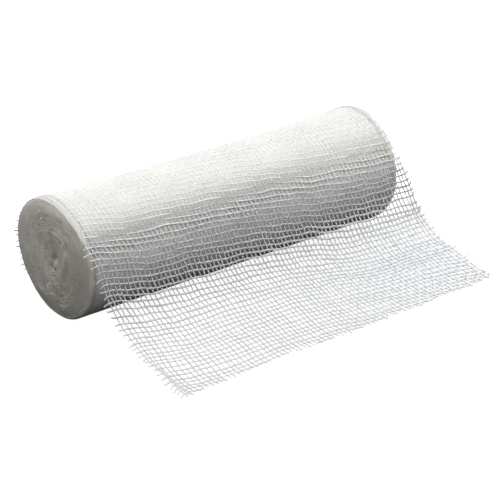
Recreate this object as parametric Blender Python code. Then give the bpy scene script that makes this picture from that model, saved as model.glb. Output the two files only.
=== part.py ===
"""Roll of open-weave gauze bandage lying on its side, with its loose end drawn out in front.

Units are metres, +Z is up. The roll's axis runs along X, at ROLL_RADIUS above the ground. The origin is the
centre of the small flat spot under the roll, on the ground, and the loose end runs out towards -Y.

A point round the roll is given by its turn: 0 degrees at the top, growing forwards and down, towards -Y. A
point along the loose cloth is given by its run: the length of cloth from the top of the roll.
"""
import math
from bisect import bisect_right
from typing import NamedTuple

import bmesh
import bpy
from mathutils import Vector

MM = 0.001

# Driving dimensions
BANDAGE_WIDTH = 100 * MM
ROLL_RADIUS = 15.5 * MM
RIM_ROUND = 0.9 * MM
FLAT_SAG = 0.9 * MM
WAIST = 0.25 * MM
LAYER_STEP = 0.35 * MM
SHEET_THICKNESS = 1.0 * MM
PIECE_GAP = 0.4 * MM

# Where the outermost layer lifts off the roll, and how far the seat below it takes to ease out again. The
# sheet's outer side carries on from the roll's surface there, and by RISEN_BY_RUN its under side follows the
# cloth instead.
LIFT_OFF_TURN = 52.0
SEAT_EASE_TURN = 70.0
SHEET_PROUD = 0.15 * MM
RISES_FROM_RUN = 25 * MM
RISEN_BY_RUN = 50 * MM
SEAT_DEPTH = SHEET_THICKNESS - SHEET_PROUD + PIECE_GAP

# Soft ends of the winding
CORE_SQUEEZE = 0.45
CORE_OFFSET_Y = 0.8 * MM
CORE_OFFSET_Z = 0.5 * MM
TURN_RIDGE_PITCH = 2.6 * MM
TURN_RIDGE_HEIGHT = 0.22 * MM

# Mesh density
TURN_STEPS = 60
RIM_STEPS = 4
BARREL_STEPS = 12
FACE_STEPS = 19
SHEET_STEPS_ACROSS = 40
SHEET_STEPS_ALONG = 24
SMALLEST_RING = 0.07
MERGE_DISTANCE = 0.015 * MM

COTTON_COLOUR = (0.93, 0.94, 0.94, 1.0)
LOOSE_COTTON_COLOUR = (0.90, 0.92, 0.93, 1.0)
COTTON_ROUGHNESS = 0.9


class Swell(NamedTuple):
    """A place where the winding stands proud at one rim."""

    name: str
    side: int
    turn: float
    height: float
    reach: float


class FaceRow(NamedTuple):
    """Depth of an end of the roll at a share of its radius."""

    name: str
    share: float
    depth: float


class FoldRow(NamedTuple):
    """A point of the loose cloth's side view: how far forwards, and how high."""

    name: str
    forward: float
    height: float


class SideRow(NamedTuple):
    """Where the two selvedges lie at a run along the cloth."""

    run: float
    left: float
    right: float


class CutRow(NamedTuple):
    """How far the scissors left the cloth at a place across it."""

    across: float
    run: float


SWELLS = (
    Swell("near rim, upper back", -1, -62.0, 1.1 * MM, 6 * MM),
    Swell("far rim, top", 1, -5.0, 0.7 * MM, 6 * MM),
)

FACE = (
    FaceRow("bottom of the hollow", 0.00, 5.0 * MM),
    FaceRow("inside the hollow", 0.08, 4.4 * MM),
    FaceRow("lip of the hollow", 0.18, 1.5 * MM),
    FaceRow("inner turns", 0.32, 1.0 * MM),
    FaceRow("middle turns", 0.55, 0.55 * MM),
    FaceRow("outer turns", 0.78, 0.2 * MM),
    FaceRow("shoulder of the rim", 1.00, 0.0),
)

FOLDS = (
    FoldRow("clear of the roll", 14.6 * MM, 22.2 * MM),
    FoldRow("hanging", 17.0 * MM, 18.3 * MM),
    FoldRow("hanging", 19.1 * MM, 14.9 * MM),
    FoldRow("above the bend", 21.4 * MM, 11.2 * MM),
    FoldRow("the bend", 24.4 * MM, 7.7 * MM),
    FoldRow("below the bend", 28.5 * MM, 5.3 * MM),
    FoldRow("running out", 32.0 * MM, 3.9 * MM),
    FoldRow("running out", 37.0 * MM, 2.6 * MM),
    FoldRow("lying", 42.0 * MM, 1.9 * MM),
    FoldRow("lying", 47.0 * MM, 1.2 * MM),
    FoldRow("down on the ground", 51.0 * MM, 0.2 * MM),
    FoldRow("flat on the ground", 53.0 * MM, 0.0),
    FoldRow("cut end", 57.0 * MM, 0.0),
)

SIDES = (
    SideRow(14 * MM, -49.6 * MM, 50.2 * MM),
    SideRow(21 * MM, -48.5 * MM, 51.2 * MM),
    SideRow(28 * MM, -48.6 * MM, 51.8 * MM),
    SideRow(36 * MM, -48.0 * MM, 51.2 * MM),
    SideRow(44 * MM, -48.3 * MM, 50.4 * MM),
    SideRow(50 * MM, -48.8 * MM, 50.9 * MM),
    SideRow(58 * MM, -49.0 * MM, 51.0 * MM),
    SideRow(67 * MM, -50.0 * MM, 51.4 * MM),
)

CUT = (
    CutRow(-50 * MM, 66.8 * MM),
    CutRow(-40 * MM, 66.4 * MM),
    CutRow(-32 * MM, 65.5 * MM),
    CutRow(-15 * MM, 64.4 * MM),
    CutRow(-5 * MM, 65.5 * MM),
    CutRow(5 * MM, 66.0 * MM),
    CutRow(15 * MM, 65.2 * MM),
    CutRow(27 * MM, 65.3 * MM),
    CutRow(34 * MM, 64.2 * MM),
    CutRow(42 * MM, 65.3 * MM),
    CutRow(51 * MM, 64.6 * MM),
)

# Unevenness of the loose cloth
LEFT_SINK = 0.7 * MM
RIPPLE_HEIGHT = 0.35 * MM
RIPPLE_START = 0.8
RIPPLES_ACROSS = 2.2
GROWS_FROM_RUN = 18 * MM
GROWN_BY_RUN = 40 * MM
SETTLES_FROM_RUN = 46 * MM
SETTLED_BY_RUN = 63 * MM
LEFT_SINK_SHARE = 0.35


def smooth_step(value):
    """Ease from 0 to 1 while value goes from 0 to 1."""
    value = min(max(value, 0.0), 1.0)
    return value * value * (3.0 - 2.0 * value)


def read_table(keys, values, key):
    """Read a table at key along a smooth curve through its rows."""
    row = min(max(bisect_right(keys, key) - 1, 0), len(keys) - 2)
    before = max(row - 1, 0)
    after = min(row + 2, len(keys) - 1)
    gap = keys[row + 1] - keys[row]
    share = min(max((key - keys[row]) / gap, 0.0), 1.0)
    slope_in = (values[row + 1] - values[before]) / (keys[row + 1] - keys[before]) * gap
    slope_out = (values[after] - values[row]) / (keys[after] - keys[row]) * gap
    square = share * share
    cube = square * share
    return (
        (2 * cube - 3 * square + 1) * values[row]
        + (cube - 2 * square + share) * slope_in
        + (3 * square - 2 * cube) * values[row + 1]
        + (cube - square) * slope_out
    )


def roll_radius(x, turn):
    """Radius of the barrel at x, where turn runs from LIFT_OFF_TURN once round to LIFT_OFF_TURN + 360."""
    way_round = (turn - LIFT_OFF_TURN) / 360.0
    seat = SEAT_DEPTH * (1.0 - smooth_step((turn - LIFT_OFF_TURN) / SEAT_EASE_TURN))
    winding = LAYER_STEP * (1.0 - way_round) * smooth_step((turn - LIFT_OFF_TURN) / SEAT_EASE_TURN)
    down = max(0.0, -math.cos(math.radians(turn)))
    radius = ROLL_RADIUS - seat - winding + FLAT_SAG * down**4
    radius -= WAIST * (1.0 - (2.0 * x / BANDAGE_WIDTH) ** 2)
    for swell in SWELLS:
        from_rim = BANDAGE_WIDTH / 2 - swell.side * x
        facing = max(0.0, math.cos(math.radians(turn - swell.turn)))
        radius += swell.height * facing * facing * math.exp(-from_rim / swell.reach)
    return radius


def roll_ring(bm, x, centre_x, shrink, share):
    """Add one ring of vertices round the roll, at a share of its radius less shrink."""
    squeeze = CORE_SQUEEZE + (1.0 - CORE_SQUEEZE) * smooth_step(share / 0.6)
    core = 1.0 - smooth_step(share / 0.8)
    ring = []
    for step in range(TURN_STEPS + 1):
        turn = LIFT_OFF_TURN + 360.0 * step / TURN_STEPS
        rim_radius = roll_radius(centre_x, turn) - shrink
        even_radius = ROLL_RADIUS - LAYER_STEP - shrink
        keep_step = smooth_step((share - 0.6) / 0.4)
        radius = share * (even_radius + (rim_radius - even_radius) * keep_step)
        angle = math.radians(turn)
        y = -radius * math.sin(angle) * squeeze + CORE_OFFSET_Y * core
        z = ROLL_RADIUS + radius * math.cos(angle) + CORE_OFFSET_Z * core
        ring.append(bm.verts.new((x(radius, turn), y, max(z, 0.0))))
    return ring


def face_depth(share, radius, turn):
    """Depth below the rim's plane of a point of a roll's end: the dish, and its main turns as ridges."""
    keys = [row.share for row in FACE]
    depths = [row.depth for row in FACE]
    dish = read_table(keys, depths, share)
    fade = smooth_step(share / 0.3) * smooth_step((1.0 - share) / 0.1)
    phase = 2.0 * math.pi * (radius / TURN_RIDGE_PITCH + turn / 360.0)
    return dish + TURN_RIDGE_HEIGHT * fade * math.cos(phase)


def end_rings(bm, side):
    """Add the rings of one end of the roll, from its barrel over the rounded rim to the hollow."""
    rings = []
    rim_x = side * BANDAGE_WIDTH / 2
    for step in range(1, RIM_STEPS + 1):
        angle = math.pi / 2 * step / RIM_STEPS
        ring_x = rim_x - side * RIM_ROUND * (1.0 - math.sin(angle))
        shrink = RIM_ROUND * (1.0 - math.cos(angle))
        rings.append(roll_ring(bm, lambda radius, turn, at=ring_x: at, ring_x, shrink, 1.0))
    for step in range(1, FACE_STEPS + 1):
        share = 1.0 + (SMALLEST_RING - 1.0) * step / FACE_STEPS
        rings.append(
            roll_ring(
                bm,
                lambda radius, turn, at=share: rim_x - side * face_depth(at, radius, turn),
                rim_x,
                RIM_ROUND,
                share,
            )
        )
    return rings


def skin_rings(bm, rings):
    """Join each ring to the next with faces, and close the first and the last with a fan."""
    for ring, following in zip(rings, rings[1:]):
        count = len(ring)
        for index in range(count):
            other = (index + 1) % count
            bm.faces.new((ring[index], ring[other], following[other], following[index]))
    ends = [bm.faces.new(rings[0]), bm.faces.new(reversed(rings[-1]))]
    bmesh.ops.poke(bm, faces=ends)


def build_roll():
    """Make the wound roll: its barrel, rounded rims and dished ends."""
    bm = bmesh.new()
    barrel_half = BANDAGE_WIDTH / 2 - RIM_ROUND
    rings = end_rings(bm, -1)[::-1]
    for step in range(BARREL_STEPS + 1):
        ring_x = -barrel_half + 2.0 * barrel_half * step / BARREL_STEPS
        rings.append(roll_ring(bm, lambda radius, turn, at=ring_x: at, ring_x, 0.0, 1.0))
    rings += end_rings(bm, 1)
    skin_rings(bm, rings)
    bmesh.ops.remove_doubles(bm, verts=bm.verts, dist=MERGE_DISTANCE)
    return finish_mesh(bm, "gauze_roll")


class Course:
    """The loose cloth's side view, read by its run."""

    def __init__(self):
        """Lay the curve over the roll's front, then through the folds."""
        self.runs = []
        self.forwards = []
        self.heights = []
        for step in range(5):
            turn = math.radians(LIFT_OFF_TURN * step / 4)
            self.runs.append(ROLL_RADIUS * turn)
            self.forwards.append(ROLL_RADIUS * math.sin(turn))
            self.heights.append(ROLL_RADIUS + ROLL_RADIUS * math.cos(turn))
        for fold in FOLDS:
            stride = math.hypot(fold.forward - self.forwards[-1], fold.height - self.heights[-1])
            self.runs.append(self.runs[-1] + stride)
            self.forwards.append(fold.forward)
            self.heights.append(fold.height)

    def at(self, run):
        """Return the point (y, z) of the cloth at run."""
        return Vector((-read_table(self.runs, self.forwards, run), read_table(self.runs, self.heights, run)))

    def outward(self, run):
        """Return the direction (y, z) that leaves the cloth's outer side at run."""
        reach = 0.5 * MM
        along = (self.at(run + reach) - self.at(run - reach)).normalized()
        return Vector((along.y, -along.x))


def cloth_lie(across_share, run):
    """Height that the cloth's unevenness adds: a sunk left side and low ripples, fading in from the roll."""
    grown = smooth_step((run - GROWS_FROM_RUN) / (GROWN_BY_RUN - GROWS_FROM_RUN))
    settled = smooth_step((run - SETTLES_FROM_RUN) / (SETTLED_BY_RUN - SETTLES_FROM_RUN))
    sink = -LEFT_SINK * (1.0 - smooth_step(across_share / LEFT_SINK_SHARE))
    ripple = RIPPLE_HEIGHT * math.sin(2.0 * math.pi * RIPPLES_ACROSS * across_share + RIPPLE_START)
    return (sink + ripple) * grown * (1.0 - settled)


def sheet_point(course, across_share, along_share):
    """Return the lower and upper point of the sheet at a share across it and along it."""
    runs = [row.run for row in SIDES]
    first_run = ROLL_RADIUS * math.radians(LIFT_OFF_TURN) + PIECE_GAP
    across = -BANDAGE_WIDTH / 2 + BANDAGE_WIDTH * across_share
    last_run = read_table([row.across for row in CUT], [row.run for row in CUT], across)
    run = first_run + (last_run - first_run) * along_share
    left = read_table(runs, [row.left for row in SIDES], run)
    right = read_table(runs, [row.right for row in SIDES], run)
    x = left + (right - left) * across_share
    line = course.at(run)
    outward = course.outward(run)
    below = SHEET_THICKNESS - SHEET_PROUD
    below *= 1.0 - smooth_step((run - RISES_FROM_RUN) / (RISEN_BY_RUN - RISES_FROM_RUN))
    low = line - outward * below
    low.y = max(low.y + cloth_lie(across_share, run), 0.0)
    high = low + outward * SHEET_THICKNESS
    return Vector((x, low.x, low.y)), Vector((x, high.x, high.y))


def build_loose_end():
    """Make the loose end: a sheet that follows the course between its two selvedges to the cut edge."""
    bm = bmesh.new()
    course = Course()
    lower = []
    upper = []
    for along in range(SHEET_STEPS_ALONG + 1):
        pairs = [
            sheet_point(course, across / SHEET_STEPS_ACROSS, along / SHEET_STEPS_ALONG)
            for across in range(SHEET_STEPS_ACROSS + 1)
        ]
        lower.append([bm.verts.new(low) for low, high in pairs])
        upper.append([bm.verts.new(high) for low, high in pairs])
    for along in range(SHEET_STEPS_ALONG):
        for across in range(SHEET_STEPS_ACROSS):
            for rows, order in ((upper, 1), (lower, -1)):
                corners = (
                    rows[along][across],
                    rows[along + 1][across],
                    rows[along + 1][across + 1],
                    rows[along][across + 1],
                )
                bm.faces.new(corners[::order])
    for along in range(SHEET_STEPS_ALONG):
        for across, order in ((0, 1), (SHEET_STEPS_ACROSS, -1)):
            corners = (
                upper[along][across],
                lower[along][across],
                lower[along + 1][across],
                upper[along + 1][across],
            )
            bm.faces.new(corners[::order])
    for across in range(SHEET_STEPS_ACROSS):
        for along, order in ((0, -1), (SHEET_STEPS_ALONG, 1)):
            corners = (
                upper[along][across],
                lower[along][across],
                lower[along][across + 1],
                upper[along][across + 1],
            )
            bm.faces.new(corners[::order])
    return finish_mesh(bm, "loose_end")


def finish_mesh(bm, name):
    """Turn the faces outwards, split them into triangles and put the mesh in a linked object."""
    bmesh.ops.triangulate(bm, faces=bm.faces)
    bmesh.ops.recalc_face_normals(bm, faces=bm.faces)
    mesh = bpy.data.meshes.new(name)
    bm.to_mesh(mesh)
    bm.free()
    mesh.shade_smooth()
    mesh.set_sharp_from_angle(angle=math.radians(50))
    piece = bpy.data.objects.new(name, mesh)
    bpy.context.scene.collection.objects.link(piece)
    return piece


def dress(piece, name, colour):
    """Give a piece its own cotton material."""
    material = bpy.data.materials.new(name)
    material.use_nodes = True
    shader = material.node_tree.nodes["Principled BSDF"]
    shader.inputs["Base Color"].default_value = colour
    shader.inputs["Roughness"].default_value = COTTON_ROUGHNESS
    shader.inputs["Metallic"].default_value = 0.0
    material.diffuse_color = colour
    piece.data.materials.append(material)


def main():
    """Clear the scene and build the two pieces."""
    for old in list(bpy.data.objects):
        bpy.data.objects.remove(old, do_unlink=True)
    dress(build_roll(), "wound_cotton", COTTON_COLOUR)
    dress(build_loose_end(), "loose_cotton", LOOSE_COTTON_COLOUR)


if __name__ == "__main__":
    main()
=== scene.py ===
"""Looks of a roll of open-weave gauze bandage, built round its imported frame.

The roll lies on its side along X and its loose end is drawn out towards -Y. Two numbers place a point of the
cloth: x, across the bandage, and run, the length of cloth from the top of the roll, which grows forwards and
out along the loose end and is negative over the back of the roll. Both are in millimetres, as all sizes in
the classes are. Points become metres when a mesh is made.
"""

import logging
import math
from abc import ABC, abstractmethod
from dataclasses import dataclass, field
from enum import Enum, IntEnum
from typing import NamedTuple

import bmesh
import bpy
import numpy as np
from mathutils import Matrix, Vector


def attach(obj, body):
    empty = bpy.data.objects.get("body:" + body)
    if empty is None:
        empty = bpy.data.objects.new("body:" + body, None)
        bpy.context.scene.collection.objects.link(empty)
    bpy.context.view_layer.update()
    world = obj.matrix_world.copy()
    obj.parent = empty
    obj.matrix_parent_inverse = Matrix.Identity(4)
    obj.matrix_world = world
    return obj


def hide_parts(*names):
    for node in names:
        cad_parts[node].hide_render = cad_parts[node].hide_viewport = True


LOG = logging.getLogger("gauze_bandage")
MM = 0.001
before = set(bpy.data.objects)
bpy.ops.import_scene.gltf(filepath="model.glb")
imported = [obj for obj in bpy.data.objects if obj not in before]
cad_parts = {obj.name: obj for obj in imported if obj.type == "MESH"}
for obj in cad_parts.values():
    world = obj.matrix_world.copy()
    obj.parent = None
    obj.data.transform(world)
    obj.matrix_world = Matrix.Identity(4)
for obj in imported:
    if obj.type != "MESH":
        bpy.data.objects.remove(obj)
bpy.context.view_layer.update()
BODY = "root"
Colour = tuple[float, float, float]


class Slot(Enum):
    """The record's material slots."""

    WOUND = "wound_cotton"
    LOOSE = "loose_cotton"


class Side(IntEnum):
    """An end of the roll, by the sign of its x."""

    NEAR = -1
    FAR = 1


def smooth_step(value: np.ndarray | float) -> np.ndarray:
    """Ease from 0 to 1 while value goes from 0 to 1."""
    value = np.clip(value, 0.0, 1.0)
    return value * value * (3.0 - 2.0 * value)


def ramp(value: np.ndarray | float, start: float, reach: float) -> np.ndarray:
    """Ease from 0 to 1 while value goes from start over reach."""
    return smooth_step((value - start) / reach)


class Wander:
    """Smooth, repeatable unevenness over a plane: a sum of seeded waves, about -1 to 1."""

    def __init__(self, seed: int, longest: float, shortest: float, waves: int = 9) -> None:
        """Draw the waves.

        Args:
            seed: Fixes the waves.
            longest: Longest wavelength, in the units of the plane.
            shortest: Shortest wavelength.
            waves: How many waves are summed.
        """
        draw = np.random.default_rng(seed)
        length = np.exp(draw.uniform(math.log(shortest), math.log(longest), waves))
        heading = draw.uniform(0.0, math.tau, waves)
        self.step_a = math.tau * np.cos(heading) / length
        self.step_b = math.tau * np.sin(heading) / length
        self.start = draw.uniform(0.0, math.tau, waves)
        self.share = np.sqrt(length / length.max())
        self.share /= np.sqrt(2.0 * np.sum(self.share**2))

    def at(self, a: np.ndarray, b: np.ndarray | float = 0.0) -> np.ndarray:
        """Read the unevenness at plane points (a, b).

        Args:
            a: First coordinate of each point.
            b: Second coordinate of each point.

        Returns:
            One value for each point.
        """
        a, b = np.broadcast_arrays(np.asarray(a, float), np.asarray(b, float))
        phase = a[..., None] * self.step_a + b[..., None] * self.step_b + self.start
        return 1.6 * np.sum(self.share * np.sin(phase), axis=-1)


class FoldRow(NamedTuple):
    """A point of the loose cloth's side view: how far forwards, and how high."""

    forward: float
    height: float


class SideRow(NamedTuple):
    """Where the outermost warps lie at a run along the cloth."""

    run: float
    left: float
    right: float


class CutRow(NamedTuple):
    """How far the scissors left the cloth at a place across it."""

    across: float
    run: float


class SlantRow(NamedTuple):
    """How a weft lies: its run at places across the cloth, less its run in the middle."""

    run: float
    offsets: tuple[float, ...]


class Swell(NamedTuple):
    """A place where the winding stands proud at one rim."""

    side: Side
    turn: float
    height: float
    reach: float


class Snag(NamedTuple):
    """A place where the wefts are pushed along the cloth."""

    across: float
    run: float
    push: float
    reach: float


def table(kind: type, *rows: tuple) -> tuple:
    """Make a table of named rows.

    Args:
        kind: The rows' type.
        rows: The values of each row.

    Returns:
        The rows.
    """
    return tuple(kind(*row) for row in rows)


FOLDS = table(
    FoldRow,
    *((14.6, 22.2), (17.0, 18.3), (19.1, 14.9), (21.4, 11.2), (24.4, 7.7), (28.5, 5.6), (32.0, 4.2)),
    *((37.0, 2.9), (42.0, 1.9), (46.0, 1.0), (50.5, 0.3), (54.0, 0.2), (60.0, 0.2)),
)
SIDES = table(
    SideRow,
    *((-400.0, -49.2, 50.0), (-61.0, -49.2, 50.0), (-48.7, -49.35, 50.0), (-36.5, -49.8, 50.0)),
    *((-24.0, -50.3, 50.0), (-6.0, -50.35, 50.0), (9.0, -49.95, 49.9), (15.0, -49.5, 49.9)),
    *((21.0, -48.4, 51.0), (28.0, -48.6, 51.6), (34.5, -47.9, 51.3), (40.0, -48.1, 50.7)),
    *((44.0, -48.3, 50.2), (50.0, -48.8, 50.7), (58.0, -48.9, 50.9), (64.5, -49.5, 51.3), (70.0, -50.0, 51.5)),
)
CUT = table(
    CutRow,
    *((-50.0, 66.6), (-40.0, 66.2), (-32.0, 65.6), (-26.0, 65.2), (-18.0, 64.6), (-10.0, 65.0), (-4.0, 65.5)),
    *((8.0, 65.7), (17.0, 65.1), (27.0, 65.2), (32.0, 64.4), (40.0, 64.9), (47.0, 64.9), (51.0, 63.6)),
)
SLANT_ACROSS = (-48.0, -41.0, -34.0, -27.0, -20.0, -13.0, -6.0, 1.0, 8.0, 15.0, 22.0, 29.0, 36.0, 43.0, 50.0)
UPPER_SLANT = (-6.4, -4.9, -3.6, -3.0, -2.4, -1.6, -0.8, 0.1, 1.35, 2.6, 4.2, 5.1, 5.8, 6.5, 7.0)
LOWER_SLANT = (-5.2, -3.2, -2.1, -2.0, -1.9, -1.5, -0.8, 0.2, 1.4, 1.8, 2.4, 3.2, 3.9, 4.7, 6.0)
LAST_SLANT = (-3.7, -2.0, -1.2, -1.4, -1.7, -1.35, -0.75, 0.15, 1.2, 1.95, 2.5, 3.2, 3.9, 4.7, 5.6)
SLANTS = (
    SlantRow(-60.0, tuple(0.5 * offset for offset in UPPER_SLANT)),
    SlantRow(-6.0, tuple(0.85 * offset for offset in UPPER_SLANT)),
    SlantRow(14.0, UPPER_SLANT),
    SlantRow(38.0, UPPER_SLANT),
    SlantRow(47.0, LOWER_SLANT),
    SlantRow(57.0, LOWER_SLANT),
    SlantRow(63.0, LAST_SLANT),
)
SWELLS = table(Swell, (Side.NEAR, -48.0, 1.25, 17.0), (Side.FAR, -5.0, 0.7, 6.0), (Side.FAR, 68.0, 1.0, 5.0))
SNAGS = table(
    Snag,
    *((-25.0, 17.0, -0.2, 3.2), (-23.0, 27.0, -0.2, 3.5), (-4.0, 14.0, 0.6, 3.0), (9.0, 15.0, -0.6, 2.8)),
    *((20.0, 3.0, 0.7, 4.0), (-33.0, 33.0, -0.5, 3.0), (31.0, 21.0, 0.5, 3.4), (-36.0, 48.0, 0.5, 3.2)),
    *((12.0, 47.0, -0.4, 3.0), (-12.0, -9.0, 0.7, 4.0)),
)


@dataclass
class ClothCourse:
    """Where the cloth lies: round the roll, over its front and out along the ground."""

    roll_radius: float = 15.5
    roll_length: float = 100.0
    lift_off_turn: float = 52.0
    layer_step: float = 0.24
    waist: float = 0.08
    sag: float = 0.45
    left_rim: float = 49.88
    right_rim: float = 49.28
    rim_round: float = 0.7
    rim_start: float = 0.25
    lean_forward: float = 0.9
    lean_down: float = 0.9
    ground_clear: float = 0.30
    left_sink: float = 0.7
    ripple: float = 0.35
    line_step: float = 0.25
    knot_turns: tuple[float, ...] = (40.0, 46.0, 52.0)
    fading_run: float = 14.0
    bend_share: float = 0.93
    sunk_share: float = 0.35
    ripples: float = 2.2
    ripple_start: float = 0.8
    lying_run: float = 18.0
    lying_reach: float = 22.0
    settled_run: float = 47.0
    settled_reach: float = 15.0

    def __post_init__(self) -> None:
        """Lay the side view of the loose cloth as a dense line."""
        turns = np.radians(self.knot_turns)
        wound = self.roll_radius * np.stack([np.sin(turns), 1.0 + np.cos(turns)], axis=1)
        knots = np.concatenate([wound, FOLDS])
        stride = np.concatenate([[0.0], np.cumsum(np.hypot(*np.diff(knots, axis=0).T))])
        runs = stride - stride[len(turns) - 1] + self.lift_run
        tangents = np.gradient(knots, runs, axis=0)
        dense = np.arange(self.lift_run, runs[-1], self.line_step)
        row = np.clip(np.searchsorted(runs, dense) - 1, 0, len(runs) - 2)
        gap = runs[row + 1] - runs[row]
        share = ((dense - runs[row]) / gap)[:, None]
        gap = gap[:, None]
        line = (
            (2 * share**3 - 3 * share**2 + 1) * knots[row]
            + (share**3 - 2 * share**2 + share) * gap * tangents[row]
            + (3 * share**2 - 2 * share**3) * knots[row + 1]
            + (share**3 - share**2) * gap * tangents[row + 1]
        )
        along = np.gradient(line, axis=0)
        along /= np.linalg.norm(along, axis=1)[:, None]
        self.loose_runs, self.loose_line, self.loose_along = dense, line, along

    @property
    def lift_run(self) -> float:
        """The run at which the outermost layer leaves the roll."""
        return self.roll_radius * math.radians(self.lift_off_turn)

    @property
    def full_turn(self) -> float:
        """The run of one turn of the roll."""
        return math.tau * self.roll_radius

    def side_view(self, run: np.ndarray) -> tuple[np.ndarray, np.ndarray]:
        """Place the cloth in the side view.

        Args:
            run: Runs along the cloth.

        Returns:
            Points (y, z) and the outward directions (y, z) there.
        """
        turn = np.minimum(run, self.lift_run) / self.roll_radius
        wound_out = np.stack([-np.sin(turn), np.cos(turn)], axis=-1)
        wound = wound_out * self.roll_radius + np.array([0.0, self.roll_radius])
        values = (*self.loose_line.T, *self.loose_along.T)
        forward, height, along_y, along_z = (np.interp(run, self.loose_runs, value) for value in values)
        loose = np.stack([-forward, height], axis=-1)
        loose_out = np.stack([along_z, along_y], axis=-1)
        is_loose = (run > self.lift_run)[..., None]
        return np.where(is_loose, loose, wound), np.where(is_loose, loose_out, wound_out)

    @property
    def rim_bend(self) -> float:
        """Radius of the rounded rims."""
        return self.rim_round / (1.0 - math.sin(self.rim_start))

    def rim_place(self, side: Side, y: np.ndarray, z: np.ndarray) -> np.ndarray:
        """Find how far from the middle a rim starts to round off. The near end of the winding leans back.

        Args:
            side: The rim's end.
            y: Place of each point from back to front.
            z: Its height.

        Returns:
            The distance at each point.
        """
        if side == Side.FAR:
            return np.full_like(y, self.right_rim)
        width = 2.0 * self.roll_radius
        lean = self.lean_forward * (self.roll_radius - y) / width + self.lean_down * (width - z) / width
        return self.left_rim - lean

    def proud(self, x: np.ndarray, run: np.ndarray) -> np.ndarray:
        """Find how far the wound cloth stands out from the plain roll: its waist, swells, sag, layers and rims.

        Args:
            x: Place across the cloth.
            run: Run along it.

        Returns:
            The height above the plain roll, fading out along the loose end.
        """
        turn = np.minimum(run, self.lift_run) / self.roll_radius
        wound = self.layer_step * (self.lift_run - np.minimum(run, self.lift_run)) / self.full_turn
        rise = -wound - self.waist * (1.0 - np.clip(2.0 * x / self.roll_length, -1, 1) ** 2)
        for swell in SWELLS:
            from_rim = np.maximum(self.roll_length / 2 - swell.side * x, 0.0)
            facing = np.maximum(0.0, np.cos(turn - math.radians(swell.turn)))
            rise = rise + swell.height * facing**2 * np.exp(-from_rim / swell.reach)
        rise = rise + self.sag * np.maximum(0.0, -np.cos(turn)) ** 4
        y, z = -self.roll_radius * np.sin(turn), self.roll_radius * (1.0 + np.cos(turn))
        past = np.maximum(-x - self.rim_place(Side.NEAR, y, z), x - self.rim_place(Side.FAR, y, z))
        past = np.clip(past, 0.0, self.bend_share * self.rim_bend)
        rise = rise - (self.rim_bend - np.sqrt(self.rim_bend**2 - past**2))
        return rise * (1.0 - ramp(run, self.lift_run, self.fading_run))

    def lie(self, x: np.ndarray, run: np.ndarray) -> np.ndarray:
        """Find the height that the loose cloth's unevenness adds: a sunk left side and low ripples.

        Args:
            x: Place across the cloth.
            run: Run along it.

        Returns:
            The added height.
        """
        share = np.clip(x / self.roll_length + 0.5, 0.0, 1.0)
        grown = ramp(run, self.lying_run, self.lying_reach)
        settled = ramp(run, self.settled_run, self.settled_reach)
        sink = -self.left_sink * (1.0 - smooth_step(share / self.sunk_share))
        ripple = self.ripple * np.sin(math.tau * self.ripples * share + self.ripple_start)
        return (sink + ripple) * grown * (1.0 - settled)

    def place(self, x: np.ndarray, run: np.ndarray, lift: np.ndarray | float = 0.0) -> tuple:
        """Place points of the cloth.

        Args:
            x: Place across the cloth.
            run: Run along it.
            lift: How far each point is raised off the cloth's middle.

        Returns:
            Points (x, y, z) and outward directions, both with a last axis of three.
        """
        x, run, lift = np.broadcast_arrays(x, run, lift)
        spot, out = self.side_view(run)
        spot = spot + out * self.proud(x, run)[..., None]
        height = spot[..., 1] + self.lie(x, run)
        is_loose = run > self.lift_run
        height = np.where(is_loose, np.maximum(height, self.ground_clear), height)
        y = spot[..., 0] + out[..., 0] * lift
        z = height + out[..., 1] * lift
        point = np.stack([x, y, z], axis=-1)
        outward = np.stack([np.zeros_like(x), out[..., 0], out[..., 1]], axis=-1)
        return point, outward


def catmull_midpoints(values: np.ndarray) -> np.ndarray:
    """Put a midpoint between the values of a line, on a smooth curve through them.

    Args:
        values: The line's values, one row for each point.

    Returns:
        The same values with a midpoint after each but the last.
    """
    padded = np.concatenate([2 * values[:1] - values[1:2], values, 2 * values[-1:] - values[-2:-1]])
    middle = (-padded[:-3] + 9 * padded[1:-2] + 9 * padded[2:-1] - padded[3:]) / 16.0
    merged = np.empty((2 * len(values) - 1, *values.shape[1:]))
    merged[0::2] = values
    merged[1::2] = middle
    return merged


@dataclass
class YarnLine:
    """One length of yarn in the cloth: where it runs, how it rises and falls, how thick and how pale it is."""

    x: np.ndarray
    run: np.ndarray
    lift: np.ndarray
    girth: np.ndarray
    tone: float

    def kept(self, over: np.ndarray) -> "list[YarnLine]":
        """Cut the yarn where a value along it passes 0.

        Args:
            over: The value at each of its points.

        Returns:
            The lengths where the value is 0 or less.
        """
        points = np.stack([self.x, self.run, self.lift, self.girth], axis=1)
        inside = np.concatenate([[False], over <= 0.0, [False]])
        starts = np.flatnonzero(inside[1:-1] & ~inside[:-2])
        ends = np.flatnonzero(inside[1:-1] & ~inside[2:])
        lengths: list[YarnLine] = []
        for start, end in zip(starts, ends):
            rows = list(points[start : end + 1])
            if start > 0:
                share = over[start - 1] / (over[start - 1] - over[start])
                rows.insert(0, points[start - 1] + (points[start] - points[start - 1]) * share)
            if end + 1 < len(over):
                share = over[end] / (over[end] - over[end + 1])
                rows.append(points[end] + (points[end + 1] - points[end]) * share)
            if len(rows) > 1:
                lengths.append(YarnLine(*np.array(rows).T, self.tone))
        return lengths

    def between(self, first: float, last: float) -> "list[YarnLine]":
        """Cut out the lengths that lie between two runs."""
        return self.kept(np.maximum(first - self.run, self.run - last))

    def coarse(self) -> "YarnLine":
        """Leave out the points between crossings."""
        return YarnLine(self.x[::2], self.run[::2], self.lift[::2], self.girth[::2], self.tone)


Cloth = tuple[list[YarnLine], list[YarnLine]]


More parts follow.
